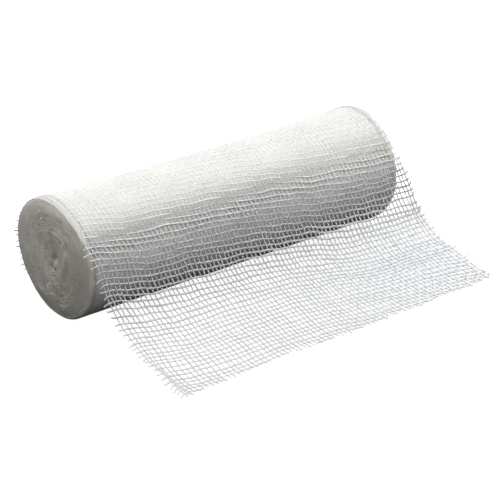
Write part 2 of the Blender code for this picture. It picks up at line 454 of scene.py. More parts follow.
@dataclass
class Weave:
    """The plain weave of the whole outer cloth: crossings of wefts and warps, and the yarns through them."""

    course: ClothCourse
    warp_count: int = 78
    weft_pitch: float = 1.57
    lower_weft_pitch: float = 1.48
    first_run: float = -186.0
    last_run: float = 70.0
    common_push: float = 0.21
    own_push: float = 0.03
    seed: int = 21
    weft_crimp: float = 0.07
    warp_crimp: float = 0.12
    weft_thickness: float = 1.05
    warp_thickness: float = 0.93
    dense_run: float = 40.0
    dense_reach: float = 6.0
    edge_pitch: float = 0.85
    settling: int = 5
    slant_ease: float = 0.35
    gather: float = 1.6
    gather_run: float = 56.0
    gather_reach: float = 9.0
    warp_wander: float = 0.42
    warp_waver: float = 0.09
    late_run: float = 55.0
    late_reach: float = 6.0
    late_poke: float = 0.9
    late_bend: float = 1.1
    wound_run: float = 19.5
    wound_reach: float = 5.0
    poke_girth: float = 0.85
    fringe_ease: float = 15.0
    least_fringe: float = 0.04
    weft_jitter: float = 0.09
    pitch_wave: float = 0.05
    pitch_jitter: float = 0.08
    weft_unevenness: tuple[float, float] = (-0.16, 0.2)
    even_share: float = 0.35
    warp_unevenness: float = 0.14
    gather_fade: float = 14.0
    gather_rise: float = 40.0
    side_hold: float = 0.04
    left_poke: tuple[float, float] = (0.9, 2.1)
    right_poke: tuple[float, float] = (0.6, 1.8)
    poke_bend: tuple[float, float] = (-0.5, 0.6)
    right_bend: float = -0.35
    poke_rise: tuple[float, float] = (-0.25, 0.45)
    left_fringe: tuple[float, float] = (-105.0, -32.0)
    right_fringe: tuple[float, float] = (-30.0, 60.0)
    tucked: tuple[float, float] = (0.75, 0.6)
    tucked_drop: float = 0.4
    weft_slub: float = 0.14
    warp_slub: float = 0.12
    cut_spare: tuple[float, float] = (-0.9, -0.5)
    warp_cut_spare: tuple[float, float] = (-0.5, 0.35)
    push_stretch: float = 1.6
    weft_stride: float = 40.0
    snag_flatness: float = 1.3
    warp_stretch: float = 0.9
    warp_spread: float = 30.0
    warp_stride: float = 55.0
    side_waver: float = 0.3
    flat_rise: float = 0.4
    bend_part: float = 0.35
    rise_part: float = 0.4
    weft_slub_stride: float = 31.0
    warp_slub_stride: float = 29.0
    warp_slub_start: float = 900.0

    def __post_init__(self) -> None:
        """Find every crossing."""
        draw = np.random.default_rng(self.seed)
        rows = [self.first_run]
        while rows[-1] < self.last_run:
            dense = ramp(rows[-1], self.dense_run, self.dense_reach)
            rows.append(rows[-1] + self.weft_pitch + (self.lower_weft_pitch - self.weft_pitch) * dense)
        self.weft_runs = np.array(rows) + draw.uniform(-self.weft_jitter, self.weft_jitter, len(rows))
        gaps = self.warp_count - 1
        pitches = 1.0 + self.pitch_wave * Wander(3, 30.0, 9.0).at(np.arange(gaps))
        pitches += draw.uniform(-self.pitch_jitter, self.pitch_jitter, gaps)
        pitches[[0, 1, -2, -1]] *= self.edge_pitch
        self.warp_shares = np.concatenate([[0.0], np.cumsum(pitches)]) / pitches.sum()
        self.weft_push = Wander(11, 34.0, 7.0, 14)
        self.weft_own = Wander(12, 14.0, 4.0, 10)
        self.warp_push = Wander(13, 40.0, 9.0, 10)
        self.warp_own = Wander(14, 16.0, 5.0, 10)
        uneven = draw.uniform(*self.weft_unevenness, len(rows)) * (draw.random(len(rows)) > self.even_share)
        self.weft_girth = self.weft_thickness + uneven
        uneven = draw.uniform(-self.warp_unevenness, self.warp_unevenness, self.warp_count)
        self.warp_girth = self.warp_thickness + uneven
        self.weft_tone = draw.random(len(rows))
        self.warp_tone = draw.random(self.warp_count)
        x = np.tile(self.course.roll_length * (self.warp_shares - 0.5), (len(rows), 1))
        run = np.tile(self.weft_runs[:, None], (1, self.warp_count))
        weft = np.arange(len(rows))[:, None]
        warp = np.arange(self.warp_count)[None, :]
        for _ in range(self.settling):
            run = self.weft_run(weft, x)
            x = self.warp_across(warp, run)
        self.x, self.run = x, run
        self.over = np.where((weft + warp) % 2 == 0, 1.0, -1.0)
        self.slub = Wander(15, 22.0, 5.0, 12)

    def weft_run(self, weft: np.ndarray, x: np.ndarray) -> np.ndarray:
        """Find the run of a weft at a place across the cloth.

        Args:
            weft: Which weft.
            x: The place.

        Returns:
            The run, with the cloth's slant, its unevenness and its snags.
        """
        middle = self.weft_runs[weft]
        offsets = np.array([row.offsets for row in SLANTS])
        level = np.interp(middle, [row.run for row in SLANTS], np.arange(len(SLANTS)))
        lower = np.clip(level.astype(int), 0, len(SLANTS) - 2)
        share = level - lower
        place = np.interp(x, SLANT_ACROSS, np.arange(len(SLANT_ACROSS)))
        column = np.clip(place.astype(int), 0, len(SLANT_ACROSS) - 2)
        part = smooth_step(place - column) * self.slant_ease + (place - column) * (1.0 - self.slant_ease)
        lower, share = np.broadcast_arrays(lower, share)
        near = offsets[lower, column] * (1 - part) + offsets[lower, column + 1] * part
        far = offsets[lower + 1, column] * (1 - part) + offsets[lower + 1, column + 1] * part
        run = middle + near * (1 - share) + far * share
        run = run + self.common_push * self.weft_push.at(x, self.push_stretch * middle)
        run = run + self.own_push * self.weft_own.at(x, self.weft_stride * weft)
        for snag in SNAGS:
            away = ((x - snag.across) ** 2 + (self.snag_flatness * (run - snag.run)) ** 2) / snag.reach**2
            run = run + snag.push * np.exp(-away)
        return run

    def warp_across(self, warp: np.ndarray, run: np.ndarray) -> np.ndarray:
        """Find the place of a warp across the cloth at a run.

        Args:
            warp: Which warp.
            run: The run.

        Returns:
            The place, between the cloth's two sides.
        """
        keys, lefts, rights = np.array(SIDES).T
        left, right = np.interp(run, keys, lefts), np.interp(run, keys, rights)
        share = self.warp_shares[warp]
        bunch = np.exp(-(((run - self.gather_run) / self.gather_reach) ** 2))
        fade = np.exp(-share * self.gather_fade) * np.minimum(1.0, share * self.gather_rise)
        inner = smooth_step(share / self.side_hold) * smooth_step((1.0 - share) / self.side_hold)
        common = self.warp_push.at(self.warp_stretch * run, self.warp_spread * share)
        own = self.warp_own.at(run, self.warp_stride * warp) * (self.side_waver + (1.0 - self.side_waver) * inner)
        wander = self.warp_wander * common * inner + self.warp_waver * own
        return left + (right - left) * share - self.gather * bunch * fade + wander

    def cut_run(self, x: np.ndarray) -> np.ndarray:
        """Run at which the scissors cut the cloth, at a place across it."""
        return np.interp(x, *np.array(CUT).T)

    def weft_line(self, weft: int, draw: np.random.Generator) -> YarnLine:
        """Follow one weft from its left poke to its right poke.

        Args:
            weft: Which weft.
            draw: Source of the pokes' lengths.

        Returns:
            The yarn, with a point at each crossing and between crossings.
        """
        x, run = self.x[weft], self.run[weft]
        lift = self.over[weft] * self.weft_crimp
        left, right = draw.uniform(*self.left_poke), draw.uniform(*self.right_poke)
        late = float(ramp(run[0], self.late_run, self.late_reach))
        left += self.late_poke * late
        bend = draw.uniform(*self.poke_bend, 2) + np.array([self.late_bend * late, self.right_bend])
        wound = float(1.0 - ramp(self.weft_runs[weft], self.wound_run, self.wound_reach))
        turn = math.degrees(min(self.weft_runs[weft], self.course.lift_run) / self.course.roll_radius)
        loose_left, loose_right = self.fringe(turn, *self.left_fringe), self.fringe(turn, *self.right_fringe)
        left *= 1.0 - wound * (1.0 - self.tucked[0] * loose_left)
        right *= 1.0 - wound * (1.0 - self.tucked[1] * loose_right)
        rise = draw.uniform(*self.poke_rise, 2) * (self.flat_rise + (1.0 - self.flat_rise) * wound)
        rise = rise - wound * self.tucked_drop * (1.0 - np.array([loose_left, loose_right]))
        ends_x = np.concatenate([[x[0] - left, x[0] - 0.5 * left], x, [x[-1] + 0.5 * right, x[-1] + right]])
        part = np.array([1.0, self.bend_part])
        ends_run = np.concatenate([run[0] + part * bend[0], run, run[-1] + part[::-1] * bend[1]])
        part = np.array([1.0, self.rise_part])
        ends_lift = np.concatenate([part * rise[0], lift, part[::-1] * rise[1]])
        line = catmull_midpoints(np.stack([ends_x, ends_run, ends_lift], axis=1))
        slub = self.slub.at(line[:, 0], self.weft_slub_stride * weft)
        girth = self.weft_girth[weft] * (1.0 + self.weft_slub * slub)
        girth[[0, 1, -2, -1]] *= self.poke_girth
        return YarnLine(*line.T, girth, float(self.weft_tone[weft]))

    def fringe(self, turn: float, first: float, last: float) -> float:
        """How much of its poke a weft shows at a turn: 1 between two turns, nearly 0 outside."""
        inside = [smooth_step(past / self.fringe_ease + 0.5) for past in (turn - first, last - turn)]
        return self.least_fringe + (1.0 - self.least_fringe) * float(inside[0] * inside[1])

    def warp_line(self, warp: int) -> YarnLine:
        """Follow one warp along the whole cloth.

        Args:
            warp: Which warp.

        Returns:
            The yarn, with a point at each crossing and between crossings.
        """
        x, run = self.x[:, warp], self.run[:, warp]
        lift = -self.over[:, warp] * self.warp_crimp
        line = catmull_midpoints(np.stack([x, run, lift], axis=1))
        slub = self.slub.at(line[:, 1], self.warp_slub_start + self.warp_slub_stride * warp)
        girth = self.warp_girth[warp] * (1.0 + self.warp_slub * slub)
        return YarnLine(*line.T, girth, float(self.warp_tone[warp]))

    def trim(self, line: YarnLine, spare: float) -> list[YarnLine]:
        """Keep the lengths of a yarn on the roll's side of the scissors' line, with some to spare."""
        return line.kept(line.run - self.cut_run(line.x) - spare)

    def yarns(self) -> Cloth:
        """Make every yarn of the cloth, cut to length.

        Returns:
            The wefts and the warps.
        """
        draw = np.random.default_rng(self.seed + 1)
        wefts, warps = [], []
        for weft in range(len(self.weft_runs)):
            wefts += self.trim(self.weft_line(weft, draw), draw.uniform(*self.cut_spare))
        for warp in range(self.warp_count):
            warps += self.trim(self.warp_line(warp), draw.uniform(*self.warp_cut_spare))
        return wefts, warps


class NodeKit:
    """Short calls for building a node tree."""

    def __init__(self, tree: bpy.types.NodeTree) -> None:
        """Work on one tree."""
        self.tree = tree

    def feed(self, sockets: object, inputs: dict) -> None:
        """Link inputs or set their own values.

        Args:
            sockets: A node's inputs.
            inputs: A socket or a value, by the input's name or number.
        """
        for key, value in inputs.items():
            if isinstance(value, bpy.types.NodeSocket):
                self.tree.links.new(value, sockets[key])
            else:
                sockets[key].default_value = value

    def node(self, kind: str, inputs: dict | None = None, **settings: object) -> bpy.types.Node:
        """Add a node.

        Args:
            kind: Its type.
            inputs: What feed puts into it.
            settings: Its properties.

        Returns:
            The node.
        """
        made = self.tree.nodes.new(kind)
        for key, value in settings.items():
            setattr(made, key, value)
        self.feed(made.inputs, inputs or {})
        return made

    def out(self, kind: str, inputs: dict | None = None, **settings: object) -> bpy.types.NodeSocket:
        """Add a node as node does, and return its first output in use."""
        return next(socket for socket in self.node(kind, inputs, **settings).outputs if socket.enabled)

    def math(self, operation: str, *values: object) -> bpy.types.NodeSocket:
        """Add a Math node on sockets or numbers, and return its output."""
        return self.out("ShaderNodeMath", dict(enumerate(values)), operation=operation)

    def total(self, *terms: tuple[bpy.types.NodeSocket, float]) -> bpy.types.NodeSocket:
        """Add up sockets, each times its share.

        Args:
            terms: The sockets with their shares.

        Returns:
            The sum.
        """
        value = self.math("MULTIPLY", *terms[0])
        for socket, share in terms[1:]:
            value = self.math("MULTIPLY_ADD", socket, share, value)
        return value

    def noise(self, vector: object, scale: object, detail: float, roughness: float) -> bpy.types.NodeSocket:
        """Add a Noise Texture and return its value."""
        inputs = {"Vector": vector, "Scale": scale, "Detail": detail, "Roughness": roughness}
        return self.out("ShaderNodeTexNoise", inputs)

    def blend(self, share: bpy.types.NodeSocket, low: object, high: Colour) -> bpy.types.NodeSocket:
        """Mix two colours.

        Args:
            share: Share of the second one.
            low: The first colour, or a socket.
            high: The second colour.

        Returns:
            The mixed colour.
        """
        made = self.node("ShaderNodeMix", data_type="RGBA")
        low = low if isinstance(low, bpy.types.NodeSocket) else (*low, 1.0)
        sockets = [socket for socket in made.inputs if socket.enabled]
        self.feed(sockets, dict(enumerate((share, low, (*high, 1.0)))))
        return next(socket for socket in made.outputs if socket.enabled)

    def attribute(self, name: str) -> bpy.types.NodeSocket:
        """Read a number kept on the mesh."""
        return self.node("ShaderNodeAttribute", attribute_name=name).outputs["Fac"]

    def group(self, group: bpy.types.NodeTree, **values: object) -> bpy.types.NodeSocket:
        """Place a node group with its own values, and return its output."""
        return self.out("ShaderNodeGroup", values, node_tree=group)


class YarnTree:
    """Geometry Nodes tree that turns yarn lines into soft oval yarns."""

    def __init__(self) -> None:
        """Build the tree."""
        self.tree = bpy.data.node_groups.new("gauze_yarns", "GeometryNodeTree")
        self.kit = kit = NodeKit(self.tree)
        self.tree.interface.new_socket("Geometry", in_out="OUTPUT", socket_type="NodeSocketGeometry")
        self.sockets: dict[str, str] = {}
        numbers = {"Half Width": "Float", "Half Height": "Float", "Sides": "Int"}
        for name, kind in {"Geometry": "Geometry", **numbers, "Cotton": "Material"}.items():
            socket = self.tree.interface.new_socket(name, in_out="INPUT", socket_type="NodeSocket" + kind)
            self.sockets[name] = socket.identifier
        given = kit.node("NodeGroupInput").outputs
        yarn = kit.out("GeometryNodeMeshToCurve", {"Mesh": given["Geometry"]})
        outward = kit.out("GeometryNodeInputNamedAttribute", {"Name": "outward"}, data_type="FLOAT_VECTOR")
        yarn = kit.out("GeometryNodeSetCurveNormal", {"Curve": yarn, "Normal": outward}, mode="FREE")
        yarn = self.store(yarn, "along", "Length")
        ring = kit.out("GeometryNodeCurvePrimitiveCircle", {"Resolution": given["Sides"], "Radius": 1.0})
        widths = kit.out("ShaderNodeCombineXYZ", {"X": given["Half Height"], "Y": given["Half Width"], "Z": 1.0})
        ring = self.store(ring, "around", "Factor")
        oval = kit.out("GeometryNodeTransform", {"Geometry": ring, "Scale": widths})
        girth = kit.out("GeometryNodeInputNamedAttribute", {"Name": "girth"}, data_type="FLOAT")
        skin = {"Curve": yarn, "Profile Curve": oval, "Scale": girth, "Fill Caps": True}
        skin = kit.out("GeometryNodeCurveToMesh", skin)
        for kind in ("GeometryNodeSetShadeSmooth", "GeometryNodeRealizeInstances"):
            skin = kit.out(kind, {"Geometry": skin})
        skin = kit.out("GeometryNodeSetMaterial", {"Geometry": skin, "Material": given["Cotton"]})
        kit.node("NodeGroupOutput", {"Geometry": skin})

    def store(self, curve: bpy.types.NodeSocket, name: str, measure: str) -> bpy.types.NodeSocket:
        """Store how far along its curve each point lies.

        Args:
            curve: The curve.
            name: The attribute's name.
            measure: Length or Factor.

        Returns:
            The curve with the attribute.
        """
        value = self.kit.node("GeometryNodeSplineParameter").outputs[measure]
        inputs = {"Geometry": curve, "Name": name, "Value": value}
        return self.kit.out("GeometryNodeStoreNamedAttribute", inputs, data_type="FLOAT", domain="POINT")


@dataclass
class YarnPiece:
    """A plain mesh of yarns, made by the yarn tree from its lines."""

    name: str
    course: ClothCourse
    width: float
    height: float
    sides: int = 6
    ground_gap: float = 0.01
    rows: list[np.ndarray] = field(default_factory=list)

    def add(self, line: YarnLine, lift: np.ndarray, girth: np.ndarray, tone: np.ndarray) -> None:
        """Add one line, kept above the ground.

        Args:
            line: Its place in the cloth.
            lift: Its height off the cloth at each point.
            girth: Its thickness there, as a share of the piece's.
            tone: Its tone there, 0 to 1: partly random, partly painted light and shade.
        """
        points, outward = self.course.place(line.x, line.run, lift)
        points[:, 2] = np.maximum(points[:, 2], self.height / 2 * girth + self.ground_gap)
        self.rows.append(np.column_stack([points * MM, outward, girth, tone]))

    def make(self, tree: YarnTree, cotton: bpy.types.Material) -> bpy.types.Object:
        """Run the yarn tree on the lines.

        Args:
            tree: The yarn tree.
            cotton: The yarn's material.

        Returns:
            A linked object with a plain mesh and no modifier.
        """
        rows = np.concatenate(self.rows)
        first = np.delete(np.arange(len(rows)), np.cumsum([len(part) for part in self.rows]) - 1)
        points, outward, girth, tone = np.split(rows, (3, 6, 7), axis=1)
        lines = bpy.data.meshes.new(self.name + "_lines")
        lines.from_pydata(points, np.stack([first, first + 1], axis=1), [])
        for key, kind, slot, values in (
            ("outward", "FLOAT_VECTOR", "vector", outward),
            ("girth", "FLOAT", "value", girth),
            ("tone", "FLOAT", "value", tone),
        ):
            attribute = lines.attributes.new(key, kind, "POINT")
            attribute.data.foreach_set(slot, values.astype(np.float32).ravel())
        source = bpy.data.objects.new(self.name + "_source", lines)
        bpy.context.scene.collection.objects.link(source)
        modifier = source.modifiers.new("yarns", "NODES")
        modifier.node_group = tree.tree
        modifier[tree.sockets["Half Width"]] = self.width / 2 * MM
        modifier[tree.sockets["Half Height"]] = self.height / 2 * MM
        modifier[tree.sockets["Sides"]] = self.sides
        modifier[tree.sockets["Cotton"]] = cotton
        bpy.context.view_layer.update()
        graph = bpy.context.evaluated_depsgraph_get()
        mesh = bpy.data.meshes.new_from_object(source.evaluated_get(graph), depsgraph=graph)
        mesh.name = self.name
        made = bpy.data.objects.new(self.name, mesh)
        bpy.context.scene.collection.objects.link(made)
        source.modifiers.remove(modifier)
        bpy.data.objects.remove(source)
        bpy.data.meshes.remove(lines)
        for key in ("outward", "girth"):
            if key in mesh.attributes:
                mesh.attributes.remove(mesh.attributes[key])
        return made


def finish_piece(piece: bpy.types.Object, replaced: str | None = None) -> None:
    """Make a piece ride on the body.

    Args:
        piece: The piece.
        replaced: The CAD node that it stands for.
    """
    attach(piece, BODY)
    if replaced:
        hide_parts(replaced)
    LOG.info("%s: %d faces", piece.name, len(piece.data.polygons))


def new_group(name: str, output: str, **inputs: float) -> tuple:
    """Start a shader node group.

    Args:
        name: Name of the group.
        output: Its number output.
        inputs: Its number inputs and their defaults.

    Returns:
        A kit for the group, and its inputs' sockets.
    """
    tree = bpy.data.node_groups.new(name, "ShaderNodeTree")
    for key, value in inputs.items():
        socket = tree.interface.new_socket(key.replace("_", " "), in_out="INPUT", socket_type="NodeSocketFloat")
        socket.default_value = value
    tree.interface.new_socket(output, in_out="OUTPUT", socket_type="NodeSocketFloat")
    kit = NodeKit(tree)
    return kit, kit.node("NodeGroupInput").outputs


class CottonEffects:
    """Shader node groups that the cotton materials share."""

    def __init__(self) -> None:
        """Build the groups once."""
        self.twist = self.build_twist()
        self.layers = self.build_layers()
        self.mottle = self.build_mottle()

    def build_twist(self) -> bpy.types.NodeTree:
        """Build the plies that wind round a yarn.

        Returns:
            The group. It gives a height from 0 to 1.
        """
        kit, given = new_group("yarn_twist", "Height", Along=0.0, Around=0.0, Pitch=0.0009, Plies=2.0)
        turns = kit.math("DIVIDE", given["Along"], given["Pitch"])
        phase = kit.math("MULTIPLY_ADD", given["Around"], given["Plies"], turns)
        wave = kit.math("SINE", kit.math("MULTIPLY", phase, math.tau))
        kit.node("NodeGroupOutput", {"Height": kit.math("MULTIPLY_ADD", wave, 0.5, 0.5)})
        return kit.tree

    def build_mottle(self) -> bpy.types.NodeTree:
        """Build soft uneven patches over the object.

        Returns:
            The group. It gives a value from 0 to 1.
        """
        kit, given = new_group("cotton_mottle", "Value", Size=0.004, Contrast=1.0)
        place = kit.node("ShaderNodeTexCoord").outputs["Object"]
        scale = kit.math("DIVIDE", 1.0, given["Size"])
        value = kit.math("SUBTRACT", kit.noise(place, scale, 3.0, 0.55), 0.5)
        value = kit.math("MULTIPLY_ADD", value, given["Contrast"], 0.5)
        kit.node("NodeGroupOutput", {"Value": kit.math("MINIMUM", kit.math("MAXIMUM", value, 0.0), 1.0)})
        return kit.tree

    def build_layers(self) -> bpy.types.NodeTree:
        """Build the threads of a gauze layer that lies below.

        Returns:
            The group. It gives 1 on a thread and 0 in a gap.
        """
        sizes = {"Warp_Pitch": 1.3, "Weft_Pitch": 1.57, "Shift": 0.0, "Wave": 0.3, "Width": 0.26}
        kit, given = new_group("gauze_layer", "Thread", Across=0.0, Run=0.0, **sizes)
        spot = kit.out("ShaderNodeCombineXYZ", {"X": given["Across"], "Y": given["Run"], "Z": given["Shift"]})
        push_reach, level, dip = 8.0, 0.68, 0.32
        masks, counts = [], []
        for source, pitch, scale in (("Across", "Warp Pitch", 0.11), ("Run", "Weft Pitch", 0.16)):
            push = kit.math("SUBTRACT", kit.noise(spot, scale, 2.0, 0.5), 0.5)
            push = kit.math("MULTIPLY", push, kit.math("MULTIPLY", given["Wave"], push_reach))
            moved = kit.math("ADD", kit.math("ADD", given[source], given["Shift"]), push)
            counts.append(kit.math("DIVIDE", moved, given[pitch]))
            part = kit.math("SUBTRACT", kit.math("FRACT", counts[-1]), 0.5)
            edge = kit.math("DIVIDE", kit.math("MULTIPLY", kit.math("ABSOLUTE", part), 2.0), given["Width"])
            masks.append(kit.math("MAXIMUM", kit.math("SUBTRACT", 1.0, edge), 0.0))
        phase = kit.math("MULTIPLY", kit.math("ADD", kit.math("FLOOR", counts[0]), counts[1]), math.pi)
        over = kit.math("MULTIPLY", kit.math("SINE", phase), dip)
        warp = kit.math("MULTIPLY", masks[0], kit.math("ADD", level, over))
        weft = kit.math("MULTIPLY", masks[1], kit.math("SUBTRACT", level, over))
        kit.node("NodeGroupOutput", {"Thread": kit.math("MAXIMUM", warp, weft)})
        return kit.tree


@dataclass(frozen=True, kw_only=True)
class CottonFinish(ABC):
    """What every finish of the bandage has. Its sizes are in millimetres."""

    name: str
    pale: Colour
    deep: Colour
    patch: float
    contrast: float
    bump: float
    bump_height: float
    roughness: float = 0.97
    smoother: float = 0.1
    shine: float = 0.1
    sheen: float = 0.0
    soft_reach: float = 0.0
    soft_share: Colour = (1.0, 0.97, 0.92)

    @abstractmethod
    def cover(self, kit: NodeKit, effects: CottonEffects, patches: bpy.types.NodeSocket) -> tuple:
        """Work out the colour and the height of the bumps.

        Args:
            kit: A kit for the material.
            effects: The shared groups.
            patches: The cotton's soft patches.

        Returns:
            The two sockets.
        """

    def make(self, effects: CottonEffects) -> bpy.types.Material:
        """Build the material.

        Args:
            effects: The shared groups.

        Returns:
            The material.
        """
        material = bpy.data.materials.new(self.name)
        material.use_nodes = True
        kit = NodeKit(material.node_tree)
        patches = kit.group(effects.mottle, Size=self.patch * MM, Contrast=self.contrast)
        colour, height = self.cover(kit, effects, patches)
        bump = {"Strength": self.bump, "Distance": self.bump_height * MM, "Height": height}
        looks = {
            "Base Color": colour,
            "Roughness": kit.math("MULTIPLY_ADD", patches, -self.smoother, self.roughness),
            "Normal": kit.out("ShaderNodeBump", bump),
            "Specular IOR Level": self.shine,
            "Sheen Weight": self.sheen,
        }
        if self.soft_reach:
            looks["Subsurface Weight"] = 1.0
            looks["Subsurface Radius"] = self.soft_share
            looks["Subsurface Scale"] = self.soft_reach * MM
        kit.feed(material.node_tree.nodes["Principled BSDF"].inputs, looks)
        material.diffuse_color = (*self.pale, 1.0)
        return material


@dataclass(frozen=True, kw_only=True)
class YarnFinish(CottonFinish):
    """Soft twisted cotton yarn."""

    patch: float = 1.6
    contrast: float = 1.6
    bump: float = 0.5
    bump_height: float = 0.04
    roughness: float = 0.91
    smoother: float = 0.12
    shine: float = 0.15
    ply_pitch: float = 0.9
    tone_share: float = 0.8
    twist_share: float = 0.08
    patch_share: float = 0.12

    def cover(self, kit: NodeKit, effects: CottonEffects, patches: bpy.types.NodeSocket) -> tuple:
        """Work out the colour and the height of the bumps.

        Args:
            kit: A kit for the material.
            effects: The shared groups.
            patches: The cotton's soft patches.

        Returns:
            The two sockets.
        """
        along, around = kit.attribute("along"), kit.attribute("around")
        twist = kit.group(effects.twist, Along=along, Around=around, Pitch=self.ply_pitch * MM)
        # The tone value is partly random and partly painted light and shade along the cloth.
        tone = (kit.attribute("tone"), self.tone_share)
        pale = kit.total(tone, (twist, self.twist_share), (patches, self.patch_share))
        return kit.blend(pale, self.deep, self.pale), twist


@dataclass(frozen=True, kw_only=True)
class LayersFinish(CottonFinish):
    """The wound gauze below the outermost turn: many layers whose threads show through each other."""

    # gaps is the warm cotton of the deeper layers, darkened with painted shade between the threads.
    gaps: Colour
    # The next colour is painted light.
    painted_light: Colour
    # The next colour is painted shade.
    shaded: Colour
    patch: float = 1.1
    contrast: float = 1.7
    bump: float = 0.6
    bump_height: float = 0.09
    soft_reach: float = 1.0
    lower_rise: float = 0.5
    patch_rise: float = 0.7

    def cover(self, kit: NodeKit, effects: CottonEffects, patches: bpy.types.NodeSocket) -> tuple:
        """Work out the colour and the height of the bumps.

        Args:
            kit: A kit for the material.
            effects: The shared groups.
            patches: The cotton's soft patches.

        Returns:
            The two sockets.
        """
        place = {"Across": kit.attribute("across"), "Run": kit.attribute("run")}
        upper = kit.group(effects.layers, **place, Shift=0.3, Wave=0.35, Width=0.34)
        lower = kit.group(effects.layers, **place, Shift=7.9, Wave=0.45, Width=0.42)
        # Between the threads: warm cotton below with painted shade.
        body = kit.blend(upper, kit.blend(lower, self.gaps, self.deep), self.pale)
        # Painted light: blend towards a near-white colour by a value kept on the barrel.
        body = kit.blend(kit.attribute("painted_light"), body, self.painted_light)
        # Painted shade: blend towards a dark colour by a value kept on the barrel.
        body = kit.blend(kit.attribute("shade"), body, self.shaded)
        height = kit.math("MULTIPLY_ADD", lower, self.lower_rise, upper)
        return body, kit.math("MULTIPLY_ADD", patches, self.patch_rise, height)


@dataclass(frozen=True, kw_only=True)
class EdgesFinish(CottonFinish):
    """The end of the roll: the edges of its turns, packed side by side, with loose fibres on them."""

    # inner is painted shade: the colour of the hollows and the lower side of the end.
    inner: Colour
    rim: Colour
    patch: float = 0.7
    contrast: float = 1.8
    bump: float = 0.7
    bump_height: float = 0.12
    sheen: float = 0.05
    soft_reach: float = 3.0
    crest_share: float = 0.45
    patch_share: float = 0.3
    broad_share: float = 0.25
    broad_patch: float = 6.0
    broad_contrast: float = 1.4

    def cover(self, kit: NodeKit, effects: CottonEffects, patches: bpy.types.NodeSocket) -> tuple:
        """Work out the colour and the height of the bumps.

        Args:
            kit: A kit for the material.
            effects: The shared groups.
            patches: The cotton's soft patches.

        Returns:
            The two sockets.
        """
        broad = kit.group(effects.mottle, Size=self.broad_patch * MM, Contrast=self.broad_contrast)
        # Painted light: the value kept on the ridges lightens the ridges of the turns and the rim over its top
        # and back.
        painted_crest_light = (kit.attribute("painted_crest_light"), self.crest_share)
        pale = kit.total(painted_crest_light, (patches, self.patch_share), (broad, self.broad_share))
        body = kit.blend(pale, self.deep, self.pale)
        # Painted shade: blend towards the dark inner colour in the hollows and on the lower side.
        body = kit.blend(kit.attribute("hollow"), body, self.inner)
        return kit.blend(kit.attribute("rim"), body, self.rim), patches


class Cottons:
    """Every material of the bandage."""

    def __init__(self) -> None:
        """Build the materials."""
        effects = CottonEffects()
        # The yarns blend from deep to pale by a tone that is partly random and partly painted light and shade.
        loose = YarnFinish(
            name="loose_yarn", pale=(0.90, 0.905, 0.915), deep=(0.30, 0.302, 0.309), soft_reach=0.7
        )
        outer = YarnFinish(name="wound_yarn", pale=(0.90, 0.902, 0.905), deep=(0.50, 0.505, 0.515))
        layers = LayersFinish(
            name="wound_layers",
            pale=(0.70, 0.688, 0.658),
            deep=(0.65, 0.634, 0.594),
            # Warm cotton below, with painted shade between the threads.
            gaps=(0.58, 0.56, 0.512),
            # Painted light.
            painted_light=(0.92, 0.918, 0.91),
            # Painted shade.
            shaded=(0.45, 0.44, 0.415),
        )
        edges = EdgesFinish(
            name="turn_edges",
            pale=(0.97, 0.935, 0.845),
            deep=(0.71, 0.67, 0.588),
            # Painted shade for the hollows and the lower side.
            inner=(0.36, 0.335, 0.28),
            rim=(0.58, 0.573, 0.558),
        )
        self.loose, self.outer = loose.make(effects), outer.make(effects)
        self.layers, self.edges = layers.make(effects), edges.make(effects)


def add_mesh(
    name: str, points: np.ndarray, faces: list, material: bpy.types.Material, **values: np.ndarray
) -> bpy.types.Object:
    """Make a linked, smooth mesh object with numbers kept on its points.

    Args:
        name: Name of the object.
        points: Its points in millimetres.
        faces: Its faces, as tuples of point indices.
        material: Its material.
        values: A number for each point, by attribute name.

    Returns:
        The object.
    """
    mesh = bpy.data.meshes.new(name)
    mesh.from_pydata(points * MM, [], faces)
    for key, numbers in values.items():
        attribute = mesh.attributes.new(key, "FLOAT", "POINT")
        attribute.data.foreach_set("value", np.asarray(numbers, np.float32).ravel())
    mesh.materials.append(material)
    mesh.shade_smooth()
    mesh.update()
    made = bpy.data.objects.new(name, mesh)
    bpy.context.scene.collection.objects.link(made)
    return made


def turn_outward(piece: bpy.types.Object) -> bpy.types.Object:
    """Recalculate the normals of a closed mesh so that they point out.

    Args:
        piece: The mesh object.

    Returns:
        The same object.
    """
    bm = bmesh.new()
    bm.from_mesh(piece.data)
    bmesh.ops.recalc_face_normals(bm, faces=bm.faces)
    bm.to_mesh(piece.data)
    bm.free()
    return piece


def ring_faces(first: int, rings: int, around: int) -> list[tuple[int, ...]]:
    """Join closed rings of points with four-sided faces.

    Args:
        first: Index of the first ring's first point.
        rings: How many rings there are.
        around: How many points each has.

    Returns:
        The faces.
    """
    faces = []
    for low in range(first, first + (rings - 1) * around, around):
        high = low + around
        for step in range(around):
            other = (step + 1) % around
            faces.append((low + step, low + other, high + other, high + step))
    return faces


